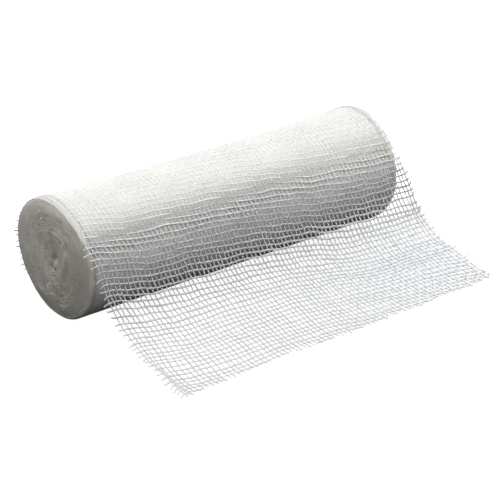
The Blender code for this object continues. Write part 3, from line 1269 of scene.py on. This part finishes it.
@dataclass
class LooseEnd:
    """The length of bandage drawn off the roll: a free net of yarns with poking wefts and a scissor cut."""

    course: ClothCourse
    yarn_width: float = 0.46
    yarn_height: float = 0.20
    warp_share: float = 0.86
    last_run: float = 80.0
    lying_run: float = 26.0
    lying_reach: float = 14.0
    lying_girth: float = 0.08
    far_girth: float = 0.72
    far_start: float = -12.0
    far_reach: float = 55.0
    held_girth: float = 0.76
    held_reach: float = 11.0
    held_depth: float = 0.11
    held_flatness: float = 0.6
    parting: float = 7.0
    flat_width: float = 0.100
    flat_length: float = 0.0512
    # Painted light and shade along the run: the yarns are paler just past the lift-off, darkest where the net
    # hangs in front of the roll, and paler again on the ground. pale_swell makes them paler still where they
    # swell.
    painted_runs: tuple[float, ...] = (14.0, 16.0, 18.5, 21.5, 25.0, 32.0, 42.0, 58.0)
    painted_tone_levels: tuple[float, ...] = (0.92, 0.84, 0.52, 0.1, 0.0, 0.24, 0.5, 0.56)
    pale_swell: float = 0.3
    tone_share: float = 0.12

    def build(self, tree: YarnTree, cloth: Cloth, cotton: bpy.types.Material) -> bpy.types.Object:
        """Build the net.

        Args:
            tree: The yarn tree.
            cloth: The cloth's wefts and warps.
            cotton: Its material.

        Returns:
            The net.
        """
        piece = YarnPiece("loose_net", self.course, self.yarn_width, self.yarn_height)
        for lines, share in zip(cloth, (1.0, self.warp_share)):
            for part in [part for line in lines for part in line.between(self.course.lift_run, self.last_run)]:
                past = part.run - self.course.lift_run
                held = 1.0 - smooth_step(past / self.parting)
                lift = part.lift * (1.0 - self.held_flatness * held) - self.held_depth * held
                lying = ramp(part.run, self.lying_run, self.lying_reach)
                far = self.far_girth * ramp(part.x, self.far_start, self.far_reach)
                thin = 1.0 - smooth_step(past / self.held_reach)
                swell = (1.0 + lying * (self.lying_girth + far)) * (1.0 - (1.0 - self.held_girth) * thin)
                girth = part.girth * swell * (share + (1.0 - share) * lying)
                # Painted light and shade by run, plus paleness where the yarns swell.
                painted_tone = np.interp(part.run, self.painted_runs, self.painted_tone_levels)
                painted_tone = painted_tone + self.pale_swell * np.maximum(swell - 1.0, 0.0)
                piece.add(part, lift, girth, painted_tone + self.tone_share * (part.tone - 0.5))
        return piece.make(tree, cotton)


class YarnSet(NamedTuple):
    """How the wefts or the warps lie in the outermost turn, and their painted light and shade by run."""

    rise: float
    wave: float
    girths: tuple[float, ...]
    levels: tuple[float, ...]


@dataclass
class OuterTurn:
    """The outermost turn of the bandage round the roll, of flattened yarns."""

    course: ClothCourse
    yarn_width: float = 0.34
    yarn_height: float = 0.09
    hidden_run: float = 24.0
    least_points: int = 3
    # Painted light and shade by run: the tones of the wefts and warps change round the roll.
    painted_runs: tuple[float, ...] = (-80.0, -60.0, -8.0, 2.0, 14.0)
    wefts: YarnSet = YarnSet(-0.01, 0.3, (0.85, 0.85, 0.8, 0.9, 1.06), (0.85, 0.8, 0.64, 0.64, 0.76))
    warps: YarnSet = YarnSet(0.01, 0.35, (1.0, 1.0, 1.05, 1.0, 0.95), (0.9, 0.9, 0.92, 0.76, 0.68))
    poke_tone: float = 0.1
    poke_start: float = 50.5
    poke_reach: float = 0.5
    sunk: float = 0.05
    sunk_run: float = 22.0
    sunk_start: float = 0.6
    tone_share: float = 0.1

    def build(self, tree: YarnTree, cloth: Cloth, cotton: bpy.types.Material) -> bpy.types.Object:
        """Build the turn.

        Args:
            tree: The yarn tree.
            cloth: The cloth's wefts and warps.
            cotton: Its material.

        Returns:
            The turn's yarns.
        """
        last = self.course.lift_run
        first = last - self.course.full_turn + self.hidden_run
        piece = YarnPiece("outer_turn", self.course, self.yarn_width, self.yarn_height)
        for lines, lie in zip(cloth, (self.wefts, self.warps)):
            for part in [part for line in lines for part in line.coarse().between(first, last)]:
                if len(part.x) < self.least_points:
                    continue
                buried = self.sunk * (1.0 - smooth_step((part.run - first) / self.sunk_run - self.sunk_start))
                flat = lie.wave * part.lift - self.yarn_height / 2 - buried + lie.rise
                girth = part.girth * np.interp(part.run, self.painted_runs, lie.girths)
                # Painted light and shade by run; the pokes at the rims get their own tone.
                painted_tone = np.interp(part.run, self.painted_runs, lie.levels)
                poking = smooth_step((np.abs(part.x) - self.poke_start) / self.poke_reach)
                painted_tone = painted_tone + (self.poke_tone - painted_tone) * poking
                piece.add(part, flat, girth, painted_tone + self.tone_share * (part.tone - 0.5))
        return piece.make(tree, cotton)


class Band(NamedTuple):
    """Painted light or painted shade on the barrel in a band of turns, in degrees, that grows or fades towards
    the far end.
    """

    level: float
    start: float
    rise: float
    end: float
    fall: float
    lean: float
    lean_start: float
    lean_reach: float = 30.0

    def at(self, turn: np.ndarray, x: np.ndarray) -> np.ndarray:
        """Find the painted light or shade.

        Args:
            turn: Turn of each point.
            x: Its place across the roll.

        Returns:
            The tone of each point.
        """
        inside = ramp(turn, self.start, self.rise) * (1.0 - ramp(turn, self.end, self.fall))
        return self.level * inside * (1.0 + self.lean * ramp(x, self.lean_start, self.lean_reach))


@dataclass
class WoundCore:
    """The barrel below the outermost turn."""

    course: ClothCourse
    depth: float = 0.05
    rim_depth: float = 0.06
    rim_reach: float = 4.0
    half_length: float = 48.3
    unevenness: float = 0.012
    ground_gap: float = 0.05
    parting_turn: float = 54.0
    parting_reach: float = 34.0
    parting_share: float = 0.6
    last_turn: float = 120.0
    # Painted light in a band under the loose end, stronger towards the far end.
    painted_light: Band = Band(0.8, 6.0, 26.0, 60.0, 30.0, 0.25, 5.0)
    # Painted shade in a band round the lift-off, weaker towards the far end.
    shade: Band = Band(0.88, 38.0, 18.0, 60.0, 18.0, -0.75, 2.0)
    # Painted light over the top of the roll, by turn in degrees.
    painted_light_turns: tuple[float, ...] = (-75.0, -50.0, -31.0, -12.0, 0.0, 12.0, 24.0, 36.0, 44.0)
    painted_light_levels: tuple[float, ...] = (0.0, 0.45, 0.4, 0.28, 0.16, 0.15, 0.28, 0.2, 0.0)
    around: int = 144
    along: int = 72

    def radius(self, x: np.ndarray, turn: np.ndarray) -> np.ndarray:
        """Find the radius of the barrel.

        Args:
            x: Places across the roll.
            turn: Turns in radians.

        Returns:
            The radius at each.
        """
        run = turn * self.course.roll_radius
        start = self.course.lift_run
        wrapped = start - np.mod(start - run, self.course.full_turn)
        layer = self.course.layer_step * (start - wrapped) / self.course.full_turn
        full = smooth_step((np.abs(x) - self.half_length + self.rim_reach) / self.rim_reach)
        depth = self.depth + (self.rim_depth - self.depth) * full
        held = self.held_out(np.degrees(turn)) * (1.0 - full)
        return self.course.roll_radius + self.course.proud(x, wrapped) + layer - depth + held

    def held_out(self, turn: np.ndarray) -> np.ndarray:
        """Find how far the barrel fills the gap below the loose end, just past the place where they part.

        Args:
            turn: Turns in degrees.

        Returns:
            The height that is filled at each.
        """
        forward, height = self.course.loose_line.T
        up = height - self.course.roll_radius
        gap = np.hypot(forward, up) - self.course.roll_radius
        turns = np.degrees(np.arctan2(forward, up))
        kept = turns < self.last_turn
        filled = np.interp(turn, turns[kept], gap[kept], left=0.0, right=0.0)
        return self.parting_share * filled * (1.0 - ramp(turn, self.parting_turn, self.parting_reach))

    def build(self, cotton: bpy.types.Material) -> bpy.types.Object:
        """Build the barrel.

        Args:
            cotton: Its material.

        Returns:
            The barrel.
        """
        turn = np.linspace(-math.pi, math.pi, self.around, endpoint=False)
        across = np.linspace(-self.half_length, self.half_length, self.along + 1)
        x, angle = np.meshgrid(across, turn, indexing="ij")
        run = angle * self.course.roll_radius
        radius = self.radius(x, angle)
        radius = radius + self.unevenness * Wander(31, 26.0, 5.0, 14).at(x, run)
        y, z = -radius * np.sin(angle), self.course.roll_radius + radius * np.cos(angle)
        points = np.stack([x, y, np.maximum(z, self.ground_gap)], axis=-1).reshape(-1, 3)
        faces = ring_faces(0, self.along + 1, self.around)
        faces.append(tuple(range(self.around - 1, -1, -1)))
        faces.append(tuple(range(self.along * self.around, (self.along + 1) * self.around)))
        over = np.degrees(angle).ravel()
        # Painted light, kept on the barrel's points: the band plus the table over the top.
        painted_light = self.painted_light.at(over - self.course.lift_off_turn, points[:, 0])
        painted_light = painted_light + np.interp(over, self.painted_light_turns, self.painted_light_levels)
        # Painted shade, kept on the barrel's points.
        shade = self.shade.at(over, points[:, 0])
        values = {"across": points[:, 0], "run": run.ravel(), "painted_light": painted_light, "shade": shade}
        return turn_outward(add_mesh("wound_core", points, faces, cotton, **values))


class DishRow(NamedTuple):
    """Depth of an end of the roll at a share of its radius."""

    share: float
    depth: float


class Crease(NamedTuple):
    """A soft fold on an end of the roll, through points (y, z)."""

    points: tuple[tuple[float, float], ...]
    rise: float
    width: float


class Pit(NamedTuple):
    """A small hollow on an end of the roll, at (y, z), darkened with painted shade."""

    y: float
    z: float
    depth: float
    width: float
    slim: float = 0.8
    tall: float = 1.25

    def at(self, y: np.ndarray, z: np.ndarray) -> np.ndarray:
        """Find how far points (y, z) lie in the hollow, from 0 to 1."""
        away = ((y - self.y) / (self.slim * self.width)) ** 2 + ((z - self.z) / (self.tall * self.width)) ** 2
        return np.exp(-away)


DISH = table(
    DishRow,
    *((0.0, 0.75), (0.1, 0.6), (0.2, 0.4), (0.35, 0.15), (0.5, 0.05), (0.65, 0.12), (0.8, 0.32), (0.92, 0.58)),
    (1.0, 0.82),
)
NEAR_CREASES = table(
    Crease,
    (((-2.1, 7.5), (-2.3, 9.9), (-2.9, 11.9), (-4.2, 14.4), (-5.4, 16.6), (-6.1, 19.0)), 0.30, 1.0),
    (((2.7, 21.7), (1.7, 22.8), (-0.3, 23.3), (-2.7, 23.1), (-4.5, 22.4)), 0.10, 0.4),
    (((-3.5, 22.8), (-4.3, 25.0), (-5.3, 27.0)), 0.12, 0.5),
    (((3.3, 18.0), (4.1, 15.6), (3.7, 12.4), (2.3, 9.8)), 0.14, 0.5),
    (((1.5, 14.0), (0.5, 13.6), (-0.5, 13.9)), 0.2, 0.3),
)
FAR_CREASES = table(
    Crease,
    (((2.2, 9.3), (3.4, 12.5), (3.2, 16.0), (1.2, 19.2)), 0.5, 0.8),
    (((-4.9, 20.6), (-2.0, 22.0), (1.0, 21.6)), 0.3, 0.5),
    (((-6.8, 10.5), (-7.2, 14.5), (-6.0, 18.5)), 0.28, 0.6),
)
NEAR_PITS = table(
    Pit,
    *((-1.1, 16.7, 0.8, 0.8), (0.4, 15.7, 0.6, 0.9), (1.2, 13.4, 0.7, 0.9), (-0.1, 12.6, 0.6, 0.7)),
    (0.6, 10.9, 0.5, 0.6),
)
FAR_PITS = table(Pit, (-0.6, 16.2, 2.6, 0.8), (-0.2, 14.6, 2.2, 0.7), (1.0, 13.0, 1.3, 0.6))


@dataclass
class WoundEnd:
    """One end of the roll: the edges of the turns as a fine spiral, round a soft hollow."""

    course: ClothCourse
    core: WoundCore
    name: str
    side: Side
    creases: tuple[Crease, ...]
    pits: tuple[Pit, ...]
    seed: int
    turns: int = 30
    steps: int = 144
    first_radius: float = 0.35
    spare_pitch: float = 0.9
    squeeze: float = 0.45
    offset_y: float = 0.3
    offset_z: float = 1.0
    oval: float = 0.05
    oval_start: float = 0.6
    profile: tuple[float, ...] = (0.035, 0.01, 0.0, 0.01)
    edge_wave: float = 0.016
    fine_wave: float = 0.006
    radius_wave: float = 0.16
    broad_wave: float = 0.10
    crease_trough: float = 0.35
    # Painted shade: the next four fields darken the lower and front side of the end.
    hollow_share: float = 0.3
    shade_height: float = 21.0
    shade_lean: float = 1.3
    shade_reach: float = 26.0
    rim_light: float = 0.8
    rim_levels: int = 6
    bulge: float = 0.12
    ground_gap: float = 0.05
    edge_inset: float = 0.2
    back_inset: float = 5.9
    back_shrink: float = 0.93
    squeeze_share: float = 0.6
    centre_share: float = 0.8
    oval_rise: float = 0.3
    oval_fall: float = 0.4
    crease_spread: float = 6.0
    crease_fall: float = 0.15
    broad_end: float = 1.05
    broad_fall: float = 0.3
    turn_stride: float = 37.0
    fine_start: float = 4.0
    smooth_centre: float = 0.08
    rim_light_reach: float = 0.45
    ridge_level: float = 0.9
    edge_tone: float = 10.0
    shade_tone: float = 0.6
    rim_least: float = 0.15
    rim_pale_start: float = 0.3
    rim_pale_swing: float = 0.85
    rim_pale_turn: float = 0.9
    ring_least: float = 0.1
    ring_fall: float = 3.0
    # Painted shade at the centre.
    middle_hollow: float = 0.5

    @property
    def face_radius(self) -> float:
        """Radius of the flat part of the end."""
        return self.course.roll_radius - self.core.rim_depth - self.course.rim_round

    def spot(self, radius: np.ndarray, turn: np.ndarray) -> tuple:
        """Place points of the end in its plane.

        Args:
            radius: Distance from the winding's centre.
            turn: Turn in radians.

        Returns:
            y, z and the share of the face's radius.
        """
        share = radius / self.face_radius
        squeeze = self.squeeze + (1.0 - self.squeeze) * smooth_step(share / self.squeeze_share)
        centre = 1.0 - smooth_step(share / self.centre_share)
        rim = self.core.radius(np.full_like(turn, self.side * self.core.half_length), turn)
        even = self.course.roll_radius - self.core.rim_depth
        reach = radius + (rim - even) * ramp(share, 0.5, 0.5)
        lobes = self.oval * np.sin(2.0 * turn + self.oval_start)
        oval = 1.0 + lobes * smooth_step(share / self.oval_rise) * smooth_step((1.0 - share) / self.oval_fall)
        y = -reach * oval * np.sin(turn) * squeeze + self.offset_y * centre
        z = self.course.roll_radius + reach * oval * np.cos(turn) + self.offset_z * centre
        return y, z, share

    def face_x(self, y: np.ndarray, z: np.ndarray) -> np.ndarray:
        """Find how far from the middle the end would stand at (y, z) without its depth."""
        bend = self.course.rim_bend * math.cos(self.course.rim_start)
        return self.course.rim_place(self.side, y, z) + DISH[-1].depth + bend

    def crease_rise(self, y: np.ndarray, z: np.ndarray) -> np.ndarray:
        """Find how far the folds stand out.

        Args:
            y: Place of each point from back to front.
            z: Its height.

        Returns:
            The rise at each point.
        """
        total = np.zeros_like(y)
        for crease in self.creases:
            line = np.array(crease.points)
            nearest = np.full(y.shape, np.inf)
            for start, step in zip(line, np.diff(line, axis=0)):
                share = ((y - start[0]) * step[0] + (z - start[1]) * step[1]) / (step @ step)
                share = np.clip(share, 0.0, 1.0)
                gap = np.hypot(y - start[0] - share * step[0], z - start[1] - share * step[1])
                nearest = np.minimum(nearest, gap)
            near = (nearest / crease.width) ** 2
            trough = self.crease_trough * crease.rise * np.exp(-near / self.crease_spread)
            total = total + crease.rise * np.exp(-near) - trough
        return total

    def depth(self, y: np.ndarray, z: np.ndarray, share: np.ndarray) -> np.ndarray:
        """Find the depth of the end below its rim, without the turns' edges.

        Args:
            y: Place of each point from back to front.
            z: Its height.
            share: Its share of the face's radius.

        Returns:
            The depth at each point.
        """
        dish = np.interp(share, *np.array(DISH).T)
        broad = self.broad_wave * Wander(self.seed, 18.0, 4.0, 12).at(y, z)
        broad = broad * smooth_step((self.broad_end - share) / self.broad_fall)
        low = dish + broad - self.crease_rise(y, z) * smooth_step((1.0 - share) / self.crease_fall)
        for pit in self.pits:
            low = low + pit.depth * pit.at(y, z)
        return low

    def surface(self) -> np.ndarray:
        """Lay the spiral of the turns' edges, from the centre out.

        Returns:
            x, y, z, painted light on the crests, painted shade of hollows and lower parts, and rim share of each
            point. The rows follow the spiral, a turn's profile in each.
        """
        pitch = (self.face_radius - self.first_radius) / (self.turns + self.spare_pitch)
        passed = np.arange(self.turns * self.steps + 1) / self.steps
        turn = self.first_turn + math.tau * np.arange(len(passed)) / self.steps
        own, fine = Wander(self.seed + 1, 24.0, 5.0, 12), Wander(self.seed + 2, 5.0, 1.2, 12)
        columns = []
        for column, groove in enumerate(self.profile):
            radius = self.first_radius + pitch * (passed + column / len(self.profile))
            radius = radius + self.radius_wave * pitch * fine.at(radius * turn, 0.0)
            y, z, share = self.spot(radius, turn)
            edge = self.edge_wave * own.at(radius * np.mod(turn, math.tau), self.turn_stride * np.floor(passed))
            edge = edge + self.fine_wave * fine.at(radius * turn, self.fine_start + column)
            depth = self.depth(y, z, share) + (groove + edge) * smooth_step(share / self.smooth_centre)
            # Painted shade: in the pits, and over the lower and front side of the end.
            hollow = sum(pit.at(y, z) * min(1.0, pit.depth / 2.0) for pit in self.pits)
            shade = smooth_step((self.shade_height - z + self.shade_lean * self.side * y) / self.shade_reach)
            hollow = np.minimum(np.maximum(hollow, self.hollow_share * shade), 1.0)
            # Painted light near the rim, whitest over its top and back.
            lit = self.rim_light * ramp(share, 0.5, self.rim_light_reach) * self.rim_painted_light(turn)
            # Painted light on the ridges of the turns, standing in for the shading of their relief.
            ridge = self.ridge_level - groove / max(self.profile) - self.edge_tone * edge
            painted_crest_light = (ridge * (1.0 - self.shade_tone * shade) + lit) * (1.0 - hollow)
            x = self.side * (self.face_x(y, z) - depth)
            columns.append(np.stack([x, y, z, painted_crest_light, hollow, np.zeros_like(x)], axis=-1))
        return np.stack(columns, axis=1)

    @property
    def first_turn(self) -> float:
        """Turn in radians where the spiral starts."""
        return math.radians(self.course.lift_off_turn)

    def rim_painted_light(self, turn: np.ndarray) -> np.ndarray:
        """Find the painted light on the rim: whitest over its top and back, where the overhead light falls."""
        white = smooth_step(self.rim_pale_start + self.rim_pale_swing * np.cos(turn + self.rim_pale_turn))
        return self.rim_least + (1.0 - self.rim_least) * white

    def rim_rings(self) -> list[np.ndarray]:
        """Lay the rings over the rounded rim and down the back of the disc.

        Returns:
            x, y, z, crest, hollow and rim of each point, ring by ring.
        """
        turn = self.first_turn + math.tau * np.arange(self.steps) / self.steps
        bulge = self.bulge * Wander(self.seed + 3, 14.0, 3.0, 12).at(turn * self.course.roll_radius)
        bend, first = self.course.rim_bend, self.course.rim_start
        rings = []
        for angle in np.linspace(first, math.pi / 2, self.rim_levels):
            radius = self.face_radius + bend * (math.sin(angle) - math.sin(first))
            y, z, _ = self.spot(np.full(self.steps, radius), turn)
            drop = DISH[-1].depth + bend * (math.cos(first) - math.cos(angle)) - bulge * math.cos(angle)
            rings.append((self.side * (self.face_x(y, z) - drop), y, np.maximum(z, self.ground_gap)))
        _, y, z = rings[-1]
        middle = self.course.roll_radius
        for inset, shrink in ((self.edge_inset, 1.0), (self.back_inset, self.back_shrink)):
            x = np.full(self.steps, self.side * (self.core.half_length - inset))
            rings.append((x, y * shrink, middle + (z - middle) * shrink))
        # Painted light on the rim rings, whitest over the top and back; the rim share follows it too.
        painted_tone = self.rim_painted_light(turn)
        rows = []
        for level, ring in enumerate(rings):
            outer = float(ramp(level, 1.0, self.ring_fall))
            painted_crest_light = self.ring_least + (1.0 - self.ring_least) * painted_tone * (1.0 - outer)
            rim = painted_tone * outer
            rows.append(np.stack([*ring, painted_crest_light, np.zeros_like(painted_crest_light), rim], axis=-1))
        return rows

    def middle(self) -> np.ndarray:
        """Place the point in the centre.

        Returns:
            Its x, y, z, crest, hollow and rim.
        """
        zero = np.zeros(1)
        y, z, _ = self.spot(zero, zero)
        x = self.side * (self.face_x(y, z) - self.depth(y, z, zero))
        # The centre takes painted shade.
        return np.array([[x[0], y[0], z[0], 0.0, self.middle_hollow, 0.0]])

    def faces(self, grid: list[list[int]], rings: int) -> list[tuple[int, ...]]:
        """Join the points of the disc.

        Args:
            grid: The spiral's point indices, row by row.
            rings: How many rings there are.

        Returns:
            The faces.
        """
        count, steps = len(grid) - 1, self.steps
        start = grid[-1][-1] + 1
        rim = list(range(start, start + steps))
        faces: list[tuple[int, ...]] = []
        for row, (here, after) in enumerate(zip(grid, grid[1:])):
            for column in range(len(here) - 1):
                faces.append((here[column], after[column], after[column + 1], here[column + 1]))
            outside = (rim[(row + 1) % steps], rim[row % steps])
            if row + steps < count:
                outside = (grid[row + 1 + steps][0], grid[row + steps][0])
            elif row + steps == count:
                outside += tuple(grid[count][::-1])
            faces.append((here[-1], after[-1], *outside))
        middle = start + rings * steps
        faces += [(middle, grid[row + 1][0], grid[row][0]) for row in range(steps)]
        faces.append((middle, *grid[0], grid[steps][0]))
        faces += ring_faces(start, rings, steps)
        faces.append(tuple(range(middle - steps, middle)))
        return faces

    def build(self, cotton: bpy.types.Material) -> bpy.types.Object:
        """Build the end as a closed disc.

        Args:
            cotton: Its material.

        Returns:
            The disc.
        """
        surface, rings = self.surface(), self.rim_rings()
        grid = np.arange(surface.shape[0] * surface.shape[1]).reshape(surface.shape[:2]).tolist()
        points = np.concatenate([surface.reshape(-1, surface.shape[-1]), *rings, self.middle()])
        points, painted_crest_light, hollow, rim = np.split(points, (3, 4, 5), axis=1)
        values = {"painted_crest_light": np.clip(painted_crest_light, 0.0, 1.0), "hollow": hollow, "rim": rim}
        return turn_outward(add_mesh(self.name, points, self.faces(grid, len(rings)), cotton, **values))


class Lamp(NamedTuple):
    """A soft square light."""

    name: str
    place: tuple[float, float, float]
    size: float
    power: float
    colour: Colour


def hang(name: str, data: bpy.types.ID, place: tuple, sight: Vector) -> bpy.types.Object:
    """Place a camera or a light and turn it.

    Args:
        name: Name of the object.
        data: The camera or the light.
        place: Where it stands, in millimetres.
        sight: The direction that it faces.

    Returns:
        The object.
    """
    made = bpy.data.objects.new(name, data)
    made.location = Vector(place) * MM
    made.rotation_euler = sight.to_track_quat("-Z", "Y").to_euler()
    bpy.context.scene.collection.objects.link(made)
    return made


@dataclass
class Studio:
    """The plain pale floor, the soft lights and the camera."""

    lens: float = 166.4
    sensor: float = 36.0
    clip: float = 0.01
    eye: tuple[float, float, float] = (-335.7, -436.0, 264.0)
    aim: tuple[float, float, float] = (12.3, 0.0, 0.0)
    lit_point: tuple[float, float, float] = (0.0, -10.0, 5.0)
    floor_half: float = 3000.0
    floor_tone: float = 0.3
    floor_unseen: float = 0.05
    floor_glow: float = 0.97
    sky_colour: Colour = (0.985, 0.992, 1.0)
    sky: float = 0.125
    sky_peak: float = 3.57
    sky_gather: float = 4.2
    sky_lean: float = 8.0
    sky_turn: float = 4.0
    key: Lamp = Lamp("key_light", (150.0, 20.0, 620.0), 1.0, 0.8, (1.0, 1.0, 1.0))
    fill: Lamp = Lamp("fill_light", (270.0, -230.0, 150.0), 0.2, 0.18, (1.0, 0.985, 0.96))

    def camera(self) -> None:
        """Set up the camera at the photograph's angle."""
        data = bpy.data.cameras.new("camera")
        data.lens, data.sensor_width, data.sensor_fit = self.lens, self.sensor, "HORIZONTAL"
        data.clip_start = self.clip
        sight = (Vector(self.aim) - Vector(self.eye)).normalized()
        bpy.context.scene.camera = hang("camera", data, self.eye, sight)

    def lights(self) -> None:
        """Hang the soft square lights, facing the roll."""
        for lamp in (self.key, self.fill):
            data = bpy.data.lights.new(lamp.name, "AREA")
            data.size, data.energy, data.color = lamp.size, lamp.power, lamp.colour
            hang(lamp.name, data, lamp.place, Vector(self.lit_point) - Vector(lamp.place))

    def floor(self) -> None:
        """Lay the floor: it looks pale to the camera and throws little light back under the roll."""
        material = bpy.data.materials.new("pale_floor")
        material.use_nodes = True
        kit = NodeKit(material.node_tree)
        kit.tree.nodes.remove(kit.tree.nodes["Principled BSDF"])
        tones = ((tone, tone, tone, 1.0) for tone in (self.floor_tone, self.floor_unseen))
        seen, unseen = (kit.out("ShaderNodeBsdfDiffuse", {"Color": tone}) for tone in tones)
        glow = kit.out("ShaderNodeEmission", {"Strength": self.floor_glow})
        self.by_camera(kit, unseen, kit.out("ShaderNodeAddShader", {0: seen, 1: glow}), "Material Output")
        corners = np.array([(-1.0, -1.0, 0.0), (1.0, -1.0, 0.0), (1.0, 1.0, 0.0), (-1.0, 1.0, 0.0)])
        add_mesh("floor", self.floor_half * corners, [(0, 1, 2, 3)], material)

    @staticmethod
    def by_camera(kit: NodeKit, other: bpy.types.NodeSocket, seen: bpy.types.NodeSocket, output: str) -> None:
        """Send one shader to the camera and another to every other ray.

        Args:
            kit: A kit for the node tree.
            other: The shader for the other rays.
            seen: The shader for the camera.
            output: Name of the output node.
        """
        camera_ray = kit.node("ShaderNodeLightPath").outputs["Is Camera Ray"]
        pick = kit.out("ShaderNodeMixShader", {"Fac": camera_ray, 1: other, 2: seen})
        kit.feed(kit.tree.nodes[output].inputs, {"Surface": pick})

    def surround(self) -> None:
        """Set the even light from all round, and the plain white that the camera sees past the floor."""
        world = bpy.data.worlds.new("studio")
        world.use_nodes = True
        kit = NodeKit(world.node_tree)
        axis = Vector((math.tan(math.radians(self.sky_turn)), -math.tan(math.radians(self.sky_lean)), 1.0))
        heading = {0: kit.node("ShaderNodeTexCoord").outputs["Generated"], 1: axis.normalized()}
        heading = kit.node("ShaderNodeVectorMath", heading, operation="DOT_PRODUCT").outputs["Value"]
        height = kit.math("POWER", kit.math("MAXIMUM", heading, 0.0), self.sky_gather)
        strength = kit.math("MULTIPLY_ADD", height, self.sky_peak, self.sky)
        background = world.node_tree.nodes["Background"]
        kit.feed(background.inputs, {"Color": (*self.sky_colour, 1.0), "Strength": strength})
        white = kit.out("ShaderNodeBackground", {"Color": (1.0, 1.0, 1.0, 1.0)})
        self.by_camera(kit, background.outputs[0], white, "World Output")
        bpy.context.scene.world = world

    def build(self) -> None:
        """Set up everything round the bandage."""
        self.surround()
        self.floor()
        self.lights()
        self.camera()
        bpy.context.scene.view_settings.view_transform = "Standard"


def main() -> None:
    """Build the bandage round the frame, then the studio."""
    logging.basicConfig(level=logging.INFO, format="%(name)s: %(message)s")
    course = ClothCourse()
    cloth = Weave(course).yarns()
    tree = YarnTree()
    cottons = Cottons()

    loose = LooseEnd(course)
    net = loose.build(tree, cloth, cottons.loose)
    finish_piece(net, "loose_end")

    core = WoundCore(course)
    finish_piece(core.build(cottons.layers), "gauze_roll")
    finish_piece(OuterTurn(course).build(tree, cloth, cottons.outer))
    near = WoundEnd(course, core, "near_end", Side.NEAR, NEAR_CREASES, NEAR_PITS, seed=51)
    far = WoundEnd(course, core, "far_end", Side.FAR, FAR_CREASES, FAR_PITS, seed=61)
    for end in (near, far):
        finish_piece(end.build(cottons.edges))

    Studio().build()


if __name__ == "__main__":
    main()
